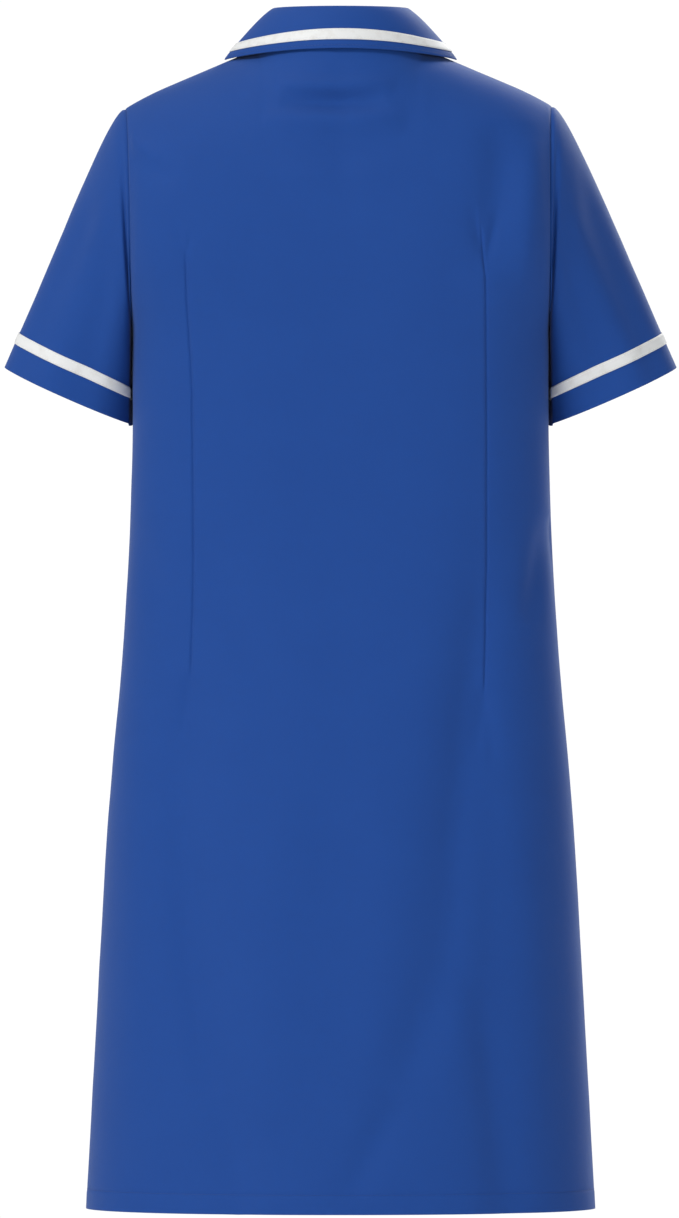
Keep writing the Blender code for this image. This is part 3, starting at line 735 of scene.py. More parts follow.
def tape_material(colours):
    """White woven tape: cross ribs, with faint grey patches."""
    nodes = Nodes("white_woven_tape")
    chart = map_in_millimetres(nodes)
    ribs = wave(nodes, chart, "X", 0.9)
    patches = noise(nodes, chart, 0.10, 3.0)
    ramp = nodes.add("ShaderNodeMapRange", {"From Min": 0.50, "From Max": 0.78})
    nodes.join(patches, 0, ramp, "Value")
    colour = nodes.add("ShaderNodeMix", data_type="RGBA")
    colour.inputs[6].default_value = (*colours.tape, 1.0)
    colour.inputs[7].default_value = (*colours.tape_shade, 1.0)
    nodes.join(ramp, 0, colour, 0)
    nodes.tree.links.new(colour.outputs[2], nodes.shader.inputs["Base Color"])
    bump = nodes.add("ShaderNodeBump", {"Strength": 0.5, "Distance": 0.00012})
    nodes.join(ribs, 0, bump, "Height")
    nodes.join(bump, 0, nodes.shader, "Normal")
    nodes.shader.inputs["Roughness"].default_value = 0.62
    nodes.shader.inputs["Sheen Weight"].default_value = 0.10
    return nodes.material


def thread_material(name, shade):
    """Twisted sewing thread."""
    nodes = Nodes(name)
    place = nodes.add("ShaderNodeTexCoord")
    twist = nodes.add("ShaderNodeTexNoise", {"Scale": 900.0, "Detail": 1.0})
    nodes.join(place, "Object", twist, "Vector")
    colour = nodes.add("ShaderNodeMix", data_type="RGBA")
    colour.inputs[6].default_value = tuple(0.82 * value for value in shade) + (1.0,)
    colour.inputs[7].default_value = (*shade, 1.0)
    nodes.join(twist, 0, colour, 0)
    nodes.tree.links.new(colour.outputs[2], nodes.shader.inputs["Base Color"])
    nodes.shader.inputs["Roughness"].default_value = 0.55
    return nodes.material


def button_material(colours):
    """Moulded white plastic with a soft shine and faint clouding."""
    nodes = Nodes("white_button")
    place = nodes.add("ShaderNodeTexCoord")
    cloud = nodes.add("ShaderNodeTexNoise", {"Scale": 260.0, "Detail": 2.0})
    nodes.join(place, "Object", cloud, "Vector")
    colour = nodes.add("ShaderNodeMix", data_type="RGBA")
    colour.inputs[6].default_value = tuple(0.93 * value for value in colours.button) + (1.0,)
    colour.inputs[7].default_value = (*colours.button, 1.0)
    nodes.join(cloud, 0, colour, 0)
    nodes.tree.links.new(colour.outputs[2], nodes.shader.inputs["Base Color"])
    nodes.shader.inputs["Roughness"].default_value = 0.28
    nodes.shader.inputs["Coat Weight"].default_value = 0.25
    return nodes.material


def material_of(name, make):
    """The named material, made the first time it is asked for."""
    return bpy.data.materials.get(name) or make()


def cloth_of(context):
    """The body cloth's material."""
    return material_of("royal_blue_twill", lambda: cloth_material(context.scene.dress_colours))


def tape_of(context):
    """The tape's material."""
    return material_of("white_woven_tape", lambda: tape_material(context.scene.dress_colours))


# ==== body panels ====================================================================
def panel_levels(sizes):
    """Rows of a panel: close together at the hem, then evenly up to the top."""
    hem = sizes.hem
    fine = [0.0, 0.0008, 0.0020, 0.0045, 0.0080, 0.0115, 0.0145, hem - 0.0010, hem,
            hem + 0.0010, hem + 0.0022, hem + 0.0045]
    drop = UNDERARM - HEM
    rest = np.linspace(0.0, 1.0, spaced(drop - fine[-1], sizes.grid) + 1)[1:]
    skirt = np.array(fine + list(mix(fine[-1], drop, rest))) / drop - 1.0
    yoke = np.linspace(0.0, 1.0, spaced(0.27, sizes.grid) + 1)[1:] ** 0.9
    close = np.array([0.9915, 0.9965, 1.0])
    return np.concatenate([skirt, yoke[yoke < 0.987], close])


HEM_ROW = 8                                                    # the row on the hem's stitching
EDGE_STEPS = np.array([0.0, 0.0030, 0.0068, 0.0115, 0.0180])   # places in from a seam
DART_STEPS = np.array([-0.0060, -0.0042, -0.0030, -0.0020, -0.0012, -0.0006, 0.0,
                       0.0006, 0.0012, 0.0020, 0.0030, 0.0042, 0.0060])
BACK_STOPS = (("seam", -1.0, 31), ("dart", LEFT, 60), ("dart", RIGHT, 31), ("seam", 1.0, 0))
PLACKET_STITCH = 0.0032
FRONT_STOPS = {
    RIGHT: (("line", -LAP, 1), ("line", -LAP + 0.0012, 1), ("line", -LAP + PLACKET_STITCH, 4),
            ("line", LAP, 2), ("line", LAP + 0.0050, 54), ("seam", 1.0, 0)),
    LEFT: (("seam", -1.0, 54), ("line", -2.6 * LAP, 4), ("line", -1.4 * LAP, 6), ("line", LAP, 0)),
}


def panel_places(face, level, stops):
    """Places of a panel's columns on each row.

    Each stop is a seam edge, a dart or a line at an x, with the number of even
    steps from it to the next stop.
    """
    groups = []
    for kind, value, _ in stops:
        if kind == "seam":
            line = value - np.sign(value) * (EDGE_STEPS if value < 0.0 else EDGE_STEPS[::-1])
            groups.append(np.repeat(line[None, :], len(level), axis=0))
        elif kind == "dart":
            height = body_points(face, value * 0.6, level)[..., 2]
            line = dart_line(value, height)
            groups.append(np.stack([places_at(face, level, line + step) for step in DART_STEPS], axis=1))
        else:
            groups.append(places_at(face, level, np.full_like(level, value))[:, None])
    parts = []
    for index, group in enumerate(groups):
        parts.append(group)
        count = stops[index][2]
        if count > 1:
            share = np.arange(1, count)[None, :] / count
            parts.append(mix(group[:, -1:], groups[index + 1][:, :1], share))
    return np.concatenate(parts, axis=1)


def smoothed(values, run, width):
    """Values along the last axis, smoothed by straight fits over a width."""
    apart = run[..., None, :] - run[..., :, None]
    weight = hill(apart, width) * np.gradient(run, axis=-1)[..., None, :]
    sums = [(weight * apart**n).sum(-1) for n in range(3)]
    firsts = [(weight * apart**n * values[..., None, :]).sum(-1) for n in range(2)]
    return (sums[2] * firsts[0] - sums[1] * firsts[1]) / (sums[0] * sums[2] - sums[1] ** 2)


def soften(base, level):
    """Ease the base form where the skirt meets the yoke, and below the neck's corners."""
    run = run_lengths(base, 1)
    across = smoothed(base[..., 1], run, 0.022)
    share = ease((1.0 - level) / 0.12) * ease((level + 0.05) / 0.15)
    edge = ease(run / 0.02) * ease((run[:, -1:] - run) / 0.02)
    base[..., 1] = mix(base[..., 1], across, share[:, None] * edge)
    rise = run_lengths(base, 0)
    along = smoothed(base[..., 1].T, rise.T, 0.030).T
    near = hill(base[..., 2] - UNDERARM, 0.075) * edge
    base[..., 1] = mix(base[..., 1], along, near)
    return base


def panel_grid(face, stops, sizes, seed):
    """The finished outer surface of a body panel, rows from the hem up."""
    level = panel_levels(sizes)
    place = panel_places(face, level, stops)
    base = body_points(face, place, level[:, None])
    base[..., 1] = face * np.maximum(face * base[..., 1], SEAM_GAP / 2.0)
    base = soften(base, level)
    normals = grid_normals(base, False, -face)
    relief = sizes.creasing * crease_relief(face, base)
    relief += sizes.ripple * ripple_relief(base[..., 0], base[..., 2], seed)
    relief += hem_relief(base, sizes.hem)
    if face == BACK:
        relief += dart_relief(base, sizes.dart)
    run = run_lengths(base, 1)
    if stops[0][0] == "seam":
        relief *= ease(run / 0.012)
        relief += edge_roll(run)
    if stops[-1][0] == "seam":
        relief *= ease((run[:, -1:] - run) / 0.012)
        relief += edge_roll(run[:, -1:] - run)
    rise = run_lengths(base, 0)
    relief *= ease((rise[-1:] - rise) / 0.008)
    relief += edge_roll(rise[-1:] - rise)
    if stops[-1] == ("line", LAP, 0):
        relief -= LAP_STEP * ease((base[..., 0] + 2.6 * LAP) / (1.2 * LAP))
    outer = base + normals * relief[..., None]
    outer[..., 1] = face * np.maximum(face * outer[..., 1], SEAM_GAP / 2.0)
    outer[..., 2] = np.maximum(outer[..., 2], HEM)
    return outer


def back_grid(sizes):
    """The back's surface."""
    return panel_grid(BACK, BACK_STOPS, sizes, 11)


def front_grid(side, sizes):
    """One front's surface."""
    return panel_grid(FRONT, FRONT_STOPS[side], sizes, 23 if side == LEFT else 37)


def cut_of(outer, closed):
    """The flat width, length and area of a grid of cloth."""
    if closed:
        outer = np.concatenate([outer, outer[:, :1]], axis=1)
    across = np.linalg.norm(np.diff(outer, axis=1), axis=-1)
    up = np.linalg.norm(np.diff(outer, axis=0), axis=-1)
    area = float((0.25 * (across[1:] + across[:-1]) * (up[:, 1:] + up[:, :-1])).sum())
    width, length = float(across.sum(axis=1).max()), float(up.sum(axis=0).max())
    return (width, length), min(area, width * length)


def declare_cloth(piece, node, outer, closed=False):
    """Attach a sheet to the body and hide the solid it stands for; its flat cut and area are worked out
    but not used.
    """
    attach(piece, BODY)
    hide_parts(node)
    flat, area = cut_of(outer, closed)


# ==== sleeves ====================================================================
def armhole_points(side, turn):
    """The sleeve's end of the armhole seam; turn runs from the tip by the front."""
    front = turn <= math.pi
    level = np.where(front, 1.0 - turn / math.pi, turn / math.pi - 1.0)
    place = np.full_like(level, float(side))
    points = np.where(front[..., None], body_points(FRONT, place, level),
                      body_points(BACK, place, level))
    return points + np.array([side * SEAM_GAP, 0.0, 0.0])


def body_side(deep, height):
    """How far out the body's side is, at depths and heights."""
    half = read_table(SECTIONS, "half_width", height)
    depth = np.where(deep > 0.0, read_table(SECTIONS, "front_depth", height),
                     read_table(SECTIONS, "back_depth", height))
    power = read_table(SECTIONS, "squareness", height)
    return half * np.maximum(0.0, 1.0 - np.abs(deep / depth) ** power) ** (1.0 / power)


def sleeve_hem_points(side, turn):
    """The sleeve's lower edge, which rests against the body's side."""
    lean_out, lean_down = math.sin(SLEEVE_LEAN), -math.cos(SLEEVE_LEAN)
    across = SLEEVE_HEM_HALF[0] * np.cos(turn)
    drop = -SLEEVE_BACK_DROP * np.sin(turn)
    x = SLEEVE_HEM_CENTRE[0] - lean_down * across + lean_out * drop
    y = SLEEVE_HEM_CENTRE[1] + SLEEVE_HEM_HALF[1] * np.sin(turn)
    z = SLEEVE_HEM_CENTRE[2] + lean_out * across + lean_down * drop
    return stack(side * np.maximum(x, body_side(y, z) + SLEEVE_REST), y, z)


def sleeve_columns(side, turn, samples=60):
    """The sleeve as columns of points from its hem up to the seam."""
    start, end = armhole_points(side, turn), sleeve_hem_points(side, turn)
    length = np.linalg.norm(end - start, axis=-1)[:, None]
    top_share = (0.5 + 0.5 * np.cos(turn))[:, None]
    lean = SLEEVE_LEAN * np.minimum(1.0, 2.0 * top_share)
    lead = unit(np.concatenate([side * mix(0.05, 0.90, top_share), 0.0 * top_share,
                                mix(-1.0, -0.43, top_share)], axis=-1))
    run = np.concatenate([side * np.sin(lean), 0.0 * lean, -np.cos(lean)], axis=-1)
    curve = (start, start + lead * np.minimum(CAP_LEAD, 0.3 * length),
             end - run * mix(0.10, 0.64, top_share) * length, end)
    return bezier(curve, 1.0 - np.linspace(0.0, 1.0, samples + 1)[:, None, None])


def along_columns(columns, wanted):
    """Points at wanted lengths along columns; wanted has a row for each new row."""
    run = run_lengths(columns, 0)
    grid = np.empty((len(wanted), columns.shape[1], 3))
    for k in range(columns.shape[1]):
        for axis in range(3):
            grid[:, k, axis] = np.interp(wanted[:, k], run[:, k], columns[:, k, axis])
    return grid


SLEEVE_TURNS = 168
TRIM_FIRST = 7                                  # the row on the tape's lower edge
TRIM_STEPS = np.array([0.0, 0.0007, 0.0018, 0.0034, 0.0050, 0.0066, 0.0082, 0.0093, 0.0100])


def seam_allowance(side, turn):
    """Rows of the sleeve's seam allowance, turned in under the body panels."""
    front = turn <= math.pi
    level = np.clip(np.where(front, 1.0 - turn / math.pi, turn / math.pi - 1.0), 0.012, 0.985)
    rows = []
    for place in ALLOWANCE_PLACES:
        places = np.full_like(level, side * place)
        sheets = [body_points(face, places, level) - surface_normals(face, places * 0.995, level)
                  * ALLOWANCE_DEPTH for face in (FRONT, BACK)]
        rows.append(np.where(front[:, None], sheets[0], sheets[1]))
    return np.array(rows)


def sleeve_grid(side, sizes):
    """The finished outer surface of a sleeve, rows from its hem up."""
    turn = 2.0 * math.pi * np.arange(SLEEVE_TURNS) / SLEEVE_TURNS
    low = [0.0, 0.0008, 0.0020, 0.0050, 0.0100, 0.0150, 0.0200]
    low = np.concatenate([low, SLEEVE_TRIM_INSET + TRIM_STEPS])
    fine = 1.0 - np.linspace(1.0, 0.0, 46)[1:] ** 1.6
    trim_top = SLEEVE_TRIM_INSET + SLEEVE_TRIM_WIDTH
    columns = sleeve_columns(side, turn)
    length = run_lengths(columns, 0)[-1:]
    above = np.concatenate([np.repeat(low[:, None], len(turn), axis=1),
                            mix(trim_top, length, fine[:, None])])
    turns = np.repeat(turn[None, :], len(above), axis=0)
    base = along_columns(columns, above)
    normals = grid_normals(base, True, side)
    rise = run_lengths(base, 0)
    from_seam, total = rise[-1:] - rise, rise[-1:]
    down = from_seam / total

    relief = sizes.ripple * ripple_relief(turns * 0.054, rise, 41 if side == LEFT else 53)
    for crease in SLEEVE_CREASES:
        if crease.side != side:
            continue
        share = np.clip((down - crease.start) / (crease.end - crease.start), 0.0, 1.0)
        centre = np.radians(mix(crease.turn, crease.turn_end, share))
        apart = np.abs((turns - centre + math.pi) % (2.0 * math.pi) - math.pi)
        fade = ease((down - crease.start) / 0.2) * ease((crease.end + 0.2 - down) / 0.2)
        relief += sizes.creasing * crease.rise * fade * hill(apart, math.radians(crease.width))
    relief *= ease(from_seam / 0.010)
    relief += edge_roll(from_seam, 0.0012, 0.0018)
    relief += 0.0003 * ease((SLEEVE_TRIM_INSET + 0.0104 - above) / 0.0012)
    outer = base + normals * relief[..., None]
    low_share = mix(0.25, 1.0, ease((1.0 - np.cos(turns)) / 1.1)) * ease((total - 0.035) / 0.05)
    valley = hill(from_seam - VALLEY.reach, VALLEY.reach) * ease(from_seam / 0.006)
    outer[..., 1] -= VALLEY.depth * np.sin(turns) * low_share * valley
    lean_in = TUCK * hill(turns - TUCK_TURN, TUCK_WIDTH) * ease(from_seam / 0.030)
    rest = body_side(outer[..., 1], outer[..., 2]) + TUCK_REST
    reach = side * outer[..., 0]
    leaning = np.maximum(reach - lean_in, np.minimum(reach, rest))
    outer[..., 0] = side * np.where(lean_in > TUCK_LEAST, leaning, reach)
    return np.concatenate([outer, seam_allowance(side, turn)])


def tape_grid(outer, steps, lift, closed, outward):
    """The outer face of a tape on rows of a cloth grid, with rounded edges."""
    normals = grid_normals(outer, closed, outward)
    rows = slice(steps[0], steps[1])
    run = run_lengths(outer[rows], 0)
    edge = np.minimum(run, run[-1:] - run)
    rounded = lift * (0.55 + 0.45 * ease(edge / 0.0012)) - 0.00010 * hill(edge - 0.0018, 0.0006)
    return outer[rows] + normals[rows] * rounded[..., None]


# ==== collar ====================================================================
COLLAR_TURNS = 260
COLLAR_TRIM_FIRST = 7
COLLAR_TRIM_STEPS = np.array([0.0, 0.0007, 0.0018, 0.0035, 0.0052, 0.0070, 0.0087, 0.0098, 0.0105])
TOPSTITCH_ROW = 3
TURN_BENDS = (35.0, 70.0, 105.0, 140.0)         # degrees round the fold, at the fall's top
TURN_RADIUS = 0.0016


def collar_angles():
    """Angles round the neck, from one end at centre front to the other."""
    reach = math.pi - COLLAR_OPENING
    return np.linspace(-reach, reach, COLLAR_TURNS + 1)


def ring_points(sizes, height, front_drop, angle):
    """A ring round the neck; angle is 0 at centre back."""
    half, back, front = sizes
    cosine = np.cos(angle)
    depth = np.where(cosine > 0.0, back, front)
    drop = np.where(cosine > 0.0, 0.0, front_drop * np.abs(cosine) ** 1.6)
    return stack(half * np.sin(angle), -depth * cosine, height - drop)


def neck_seam(angle):
    """The neck seam round the neck."""
    quarter = math.pi / 2.0
    behind = np.abs(angle) <= quarter
    back = neck_points(BACK, np.clip(angle / quarter, -1.0, 1.0))
    front_place = np.clip(np.sign(angle) * (math.pi - np.abs(angle)) / quarter, -1.0, 1.0)
    return np.where(behind[:, None], back, neck_points(FRONT, front_place))


def surface_normals(face, place, level, step=0.004):
    """Unit normals of a body panel at given places and levels."""
    across = body_points(face, place + step, level) - body_points(face, place - step, level)
    up = body_points(face, place, level + step) - body_points(face, place, level - step)
    return unit(np.cross(across, up)) * -face


def fall_edges(angle):
    """The collar's outer edge, on the shoulders and on the fronts."""
    quarter = math.pi / 2.0
    height = mix(FALL_BACK_HEIGHT, FALL_SIDE_HEIGHT, np.sin(angle) ** 2)
    deep = FALL_EDGE[1] * np.maximum(0.0, np.cos(angle)) ** FALL_SETTLE
    behind = stack(FALL_EDGE[0] * np.sin(angle), -deep, height)
    side = np.sign(angle)
    share = np.clip((np.abs(angle) - quarter) / quarter, 0.0, 1.0)
    width = np.where(side > 0.0, SHOULDER_TIP[RIGHT], SHOULDER_TIP[LEFT]) - NECK_HALF_WIDTH
    start = NECK_EDGE + (1.0 - NECK_EDGE) * (FALL_EDGE[0] - NECK_HALF_WIDTH) / width
    place, level = side * mix(start, FALL_POINT[0], share ** 0.8), mix(1.0, FALL_POINT[1], share)
    front = body_points(FRONT, place, level)
    normal = surface_normals(FRONT, place, np.minimum(level, 0.99))
    settle = ease(share * 4.0)
    front = front + normal * (FALL_CLEARANCE * settle)[:, None]
    front[:, 2] += (FALL_SIDE_HEIGHT - top_points(FRONT, side * start)[:, 2]) * (1.0 - settle)
    return np.where((np.abs(angle) <= quarter)[:, None], behind, front)


def fall_columns(angle, samples=80):
    """The fall as columns of points from its outer edge up to the fold."""
    fold = ring_points(FOLD_RING, FOLD_TOP, FOLD_FRONT_DROP, angle)
    roll = ring_points(ROLL, ROLL_HEIGHT, FOLD_FRONT_DROP, angle)
    edge = fall_edges(angle)
    share = ease((np.abs(angle) - math.pi / 2.0) / (math.pi / 2.0))[:, None]
    lifted = fold * 0.45 + edge * 0.55 + np.array([0.0, 0.012, 0.012])
    roll = mix(roll, lifted, share)
    step = np.linspace(0.0, 1.0, samples + 1)[:, None, None]
    return edge * (1.0 - step) ** 2 + roll * (2.0 * step * (1.0 - step)) + fold * step**2


def collar_grid(sizes):
    """The finished outer surface of the fall, turned over at the fold."""
    angle = collar_angles()
    columns = fall_columns(angle)
    run = run_lengths(columns, 0)
    low = np.concatenate([[0.0, 0.0006, 0.0016, 0.0030, 0.0042, 0.0056, 0.0070],
                          COLLAR_TRIM_INSET + COLLAR_TRIM_STEPS])
    trim_top = COLLAR_TRIM_INSET + COLLAR_TRIM_WIDTH
    shares = np.array([0.08, 0.18, 0.30, 0.42, 0.54, 0.66, 0.77, 0.86, 0.93, 0.975, 1.0])
    grid = along_columns(columns, np.concatenate([np.repeat(low[:, None], len(angle), axis=1),
                                                  mix(trim_top, run[-1:], shares[:, None])]))
    normals = grid_normals(grid, False, 1.0)
    height = run_lengths(grid, 0)
    around = run_lengths(grid, 1)
    relief = 0.00030 * ripple_relief(around, height, 67) * ease(height / 0.006)
    relief *= ease((height[-1:] - height) / 0.006)
    relief -= 0.00030 * hill(height - 0.0030, 0.0009)
    relief += edge_roll(height, 0.0006, 0.0010)
    grid += normals * relief[..., None]

    radial = unit(grid[-1] * np.array([1.0, 1.0, 0.0]))
    rising = unit(grid[-1] - grid[-3])
    turned = []
    for degrees in TURN_BENDS:
        bend = math.radians(degrees)
        turned.append(grid[-1] + TURN_RADIUS * (math.sin(bend) * rising
                      - (1.0 - math.cos(bend)) * unit(radial * 0.35 + np.array([0.0, 0.0, 1.0]))))
    grid = np.concatenate([grid, np.array(turned)])
    grid[..., 2] = np.minimum(grid[..., 2], FOLD_TOP)
    return grid


def stand_grid():
    """The stand, from the neck seam up to just under the fold."""
    angle = collar_angles()
    foot = neck_seam(angle)
    foot = foot - unit(foot * np.array([1.0, 1.0, 0.0])) * 2.0 * SEAM_GAP
    foot[:, 2] += mix(NECK_LIFT[1], NECK_LIFT[0], 0.5 + 0.5 * np.cos(angle))
    top = ring_points(FOLD_RING, FOLD_TOP, FOLD_FRONT_DROP, angle)
    top = top + unit(top * np.array([1.0, 1.0, 0.0])) * STAND_SET_OUT
    top[:, 2] -= STAND_DROP
    share = np.linspace(0.0, 1.0, STAND_ROWS)[:, None, None]
    return mix(foot[None], top[None], share)


# ==== buttons and stitches ====================================================================
BUTTON_PROFILE = (        # radius as a share, height in millimetres
    (0.00, 0.10), (0.80, 0.10), (0.90, 0.30), (0.97, 0.70), (1.00, 1.25), (1.00, 1.75),
    (0.97, 2.25), (0.91, 2.58), (0.84, 2.62), (0.77, 2.45), (0.71, 2.15), (0.66, 1.98),
    (0.55, 1.93), (0.45, 1.92),
)
THREAD_SEAT, THREAD_RISE = 0.0007, 0.00205      # over the cloth, up to a button's face
THREAD_BESIDE = 0.00022                         # from the middle of a pair of threads
THREAD_FLAT, THREAD_DIP = 0.0010, 0.0009        # half the straight run, and down into a hole
HOLE_RING = 0.0020
HOLE_RADIUS = 0.00085
HOLE_LIFT, HOLE_HALF, BAR_HALF = 0.00045, 0.00075, 0.0013   # of a buttonhole and its end bars
HOLE_START, HOLE_END = 0.0030, 0.0040           # back from the button's middle, on past its edge
BUTTON_SEGMENTS = 64


def button_mesh(name, radius, holes):
    """A round button with a raised rim and real holes through its middle."""
    work = bmesh.new()
    rings = []
    for share, rise in BUTTON_PROFILE[1:]:
        turns = [2.0 * math.pi * k / BUTTON_SEGMENTS for k in range(BUTTON_SEGMENTS)]
        rings.append([work.verts.new((radius * share * math.cos(t), radius * share * math.sin(t),
                                      rise / 1000.0)) for t in turns])
    for lower, upper in zip(rings, rings[1:]):
        for k in range(BUTTON_SEGMENTS):
            m = (k + 1) % BUTTON_SEGMENTS
            work.faces.new((lower[k], lower[m], upper[m], upper[k]))
    work.faces.new(rings[-1])
    work.faces.new(rings[0][::-1])
    mesh = bpy.data.meshes.new(name)
    work.to_mesh(mesh)
    work.free()
    body = bpy.data.objects.new(name, mesh)
    bpy.context.scene.collection.objects.link(body)
    cutters = []
    for k in range(holes):
        turn = math.pi * 2.0 * (k + 0.5) / holes
        bpy.ops.mesh.primitive_cylinder_add(
            vertices=24, radius=HOLE_RADIUS, depth=0.010,
            location=(HOLE_RING * math.cos(turn), HOLE_RING * math.sin(turn), 0.0015))
        cutters.append(bpy.context.object)
    for cutter in cutters:
        cut = body.modifiers.new("hole", "BOOLEAN")
        cut.operation, cut.solver, cut.object = "DIFFERENCE", "EXACT", cutter
    graph = bpy.context.evaluated_depsgraph_get()
    result = bpy.data.meshes.new_from_object(body.evaluated_get(graph))
    for item in [body, *cutters]:
        bpy.data.objects.remove(item, do_unlink=True)
    result.name = name
    return result


def button_seats():
    """The centre and half size of each button, from its solid in the frame."""
    seats = []
    for index in range(BUTTON_COUNT):
        low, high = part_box("button_%d" % (index + 1))
        centre = (np.array(low) + np.array(high)) / 2.0
        height = min(float(centre[2]), 0.0)
        if height <= UNDERARM:
            level = np.array([-(UNDERARM - height) / (UNDERARM - HEM)])
        else:
            below, above = 0.0, 1.0
            for _ in range(40):
                level = 0.5 * (below + above)
                if body_points(FRONT, 0.0, level)[..., 2] < height:
                    below = level
                else:
                    above = level
            level = np.array([level])
        normal = surface_normals(FRONT, np.array([0.0]), level)[0]
        seat = body_points(FRONT, np.array([0.0]), level)[0]
        radius = 0.5 * float(high[0] - low[0])
        seats.append((seat, normal, radius))
    return seats


def capsule_group():
    """Geometry nodes that lay stitches along the edges of a mesh."""
    group = bpy.data.node_groups.new("stitch_line", "GeometryNodeTree")
    face = group.interface
    face.new_socket("Seams", in_out="INPUT", socket_type="NodeSocketGeometry")
    for name in ("Pitch", "Length", "Thread"):
        face.new_socket(name, in_out="INPUT", socket_type="NodeSocketFloat")
    face.new_socket("Finish", in_out="INPUT", socket_type="NodeSocketMaterial")
    face.new_socket("Stitches", in_out="OUTPUT", socket_type="NodeSocketGeometry")
    nodes, links = group.nodes, group.links
    source = nodes.new("NodeGroupInput")
    sink = nodes.new("NodeGroupOutput")
    curve = nodes.new("GeometryNodeMeshToCurve")
    even = nodes.new("GeometryNodeResampleCurve")
    even.mode = "LENGTH"
    tangent = nodes.new("GeometryNodeInputTangent")
    turn = nodes.new("FunctionNodeAlignRotationToVector")
    turn.axis = "X"
    ball = nodes.new("GeometryNodeMeshUVSphere")
    ball.inputs["Segments"].default_value = 6
    ball.inputs["Rings"].default_value = 5
    ball.inputs["Radius"].default_value = 0.5
    shape = nodes.new("ShaderNodeCombineXYZ")
    place = nodes.new("GeometryNodeInstanceOnPoints")
    real = nodes.new("GeometryNodeRealizeInstances")
    smooth = nodes.new("GeometryNodeSetShadeSmooth")
    finish = nodes.new("GeometryNodeSetMaterial")
    links.new(source.outputs["Seams"], curve.inputs["Mesh"])
    links.new(curve.outputs["Curve"], even.inputs["Curve"])
    links.new(source.outputs["Pitch"], even.inputs["Length"])
    links.new(even.outputs["Curve"], place.inputs["Points"])
    links.new(ball.outputs["Mesh"], place.inputs["Instance"])
    links.new(tangent.outputs["Tangent"], turn.inputs["Vector"])
    links.new(turn.outputs["Rotation"], place.inputs["Rotation"])
    links.new(source.outputs["Length"], shape.inputs["X"])
    links.new(source.outputs["Thread"], shape.inputs["Y"])
    links.new(source.outputs["Thread"], shape.inputs["Z"])
    links.new(shape.outputs["Vector"], place.inputs["Scale"])
    links.new(place.outputs["Instances"], real.inputs["Geometry"])
    links.new(real.outputs["Geometry"], smooth.inputs["Geometry"])
    links.new(smooth.outputs["Geometry"], finish.inputs["Geometry"])
    links.new(source.outputs["Finish"], finish.inputs["Material"])
    links.new(finish.outputs["Geometry"], sink.inputs["Stitches"])
    return group


def make_stitches(name, lines, sizes, finish, pitch=None):
    """Turn lines of points into one piece made of separate stitches."""
    points, edges, first = [], [], 0
    for line in lines:
        points.extend(line.tolist())
        edges.extend((first + k, first + k + 1) for k in range(len(line) - 1))
        first += len(line)
    path = bpy.data.meshes.new(name + "_path")
    path.from_pydata(points, edges, [])
    carrier = bpy.data.objects.new(name + "_path", path)
    bpy.context.scene.collection.objects.link(carrier)
    group = bpy.data.node_groups.get("stitch_line") or capsule_group()
    maker = carrier.modifiers.new("stitches", "NODES")
    maker.node_group = group
    values = {"Pitch": pitch or sizes.stitch_pitch, "Thread": sizes.thread, "Finish": finish,
              "Length": sizes.stitch if pitch is None else 0.9 * pitch}
    for item in group.interface.items_tree:
        if item.item_type == "SOCKET" and item.in_out == "INPUT" and item.name in values:
            maker[item.identifier] = values[item.name]
    carrier.update_tag()
    graph = bpy.context.evaluated_depsgraph_get()
    mesh = bpy.data.meshes.new_from_object(carrier.evaluated_get(graph))
    bpy.data.objects.remove(carrier, do_unlink=True)
    if not mesh.polygons:
        raise RuntimeError("no stitches were made for " + name)
    mesh.name = name
    piece = bpy.data.objects.new(name, mesh)
    bpy.context.scene.collection.objects.link(piece)
    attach(piece, BODY)
    return piece


def lifted(outer, closed, outward, lift):
    """A grid moved out along its normals."""
    return outer + grid_normals(outer, closed, outward) * lift


def closed_line(line):
    """A line of points joined back to its start."""
    return np.concatenate([line, line[:1]])


# ==== operators ====================================================================
class DRESS_OT_back(bpy.types.Operator):
    """Make the back, in one piece with two fisheye darts."""

    bl_idname = "dress.back"
    bl_label = "Back"

    def execute(self, context):
        sizes = context.scene.dress_sizes
        outer = back_grid(sizes)
        piece = shell("back_cloth", outer, sizes.cloth, cloth_of(context), outward=-BACK)
        declare_cloth(piece, "back_panel", outer)
        return {"FINISHED"}


class DRESS_OT_fronts(bpy.types.Operator):
    """Make the two fronts, the right one lapped over the left."""

    bl_idname = "dress.fronts"
    bl_label = "Fronts"

    def execute(self, context):
        sizes = context.scene.dress_sizes
        for side in (LEFT, RIGHT):
            outer = front_grid(side, sizes)
            name = "front_%s" % SIDE_NAMES[side]
            piece = shell(name + "_cloth", outer, sizes.cloth, cloth_of(context), outward=-FRONT)
            declare_cloth(piece, name, outer)
        return {"FINISHED"}


class DRESS_OT_sleeves(bpy.types.Operator):
    """Make the two set-in short sleeves."""

    bl_idname = "dress.sleeves"
    bl_label = "Sleeves"

    def execute(self, context):
        sizes = context.scene.dress_sizes
        for side in (LEFT, RIGHT):
            outer = sleeve_grid(side, sizes)
            name = "sleeve_%s" % SIDE_NAMES[side]
            piece = shell(name + "_cloth", outer, sizes.cloth, cloth_of(context), True, side)
            declare_cloth(piece, name, outer, closed=True)
        return {"FINISHED"}


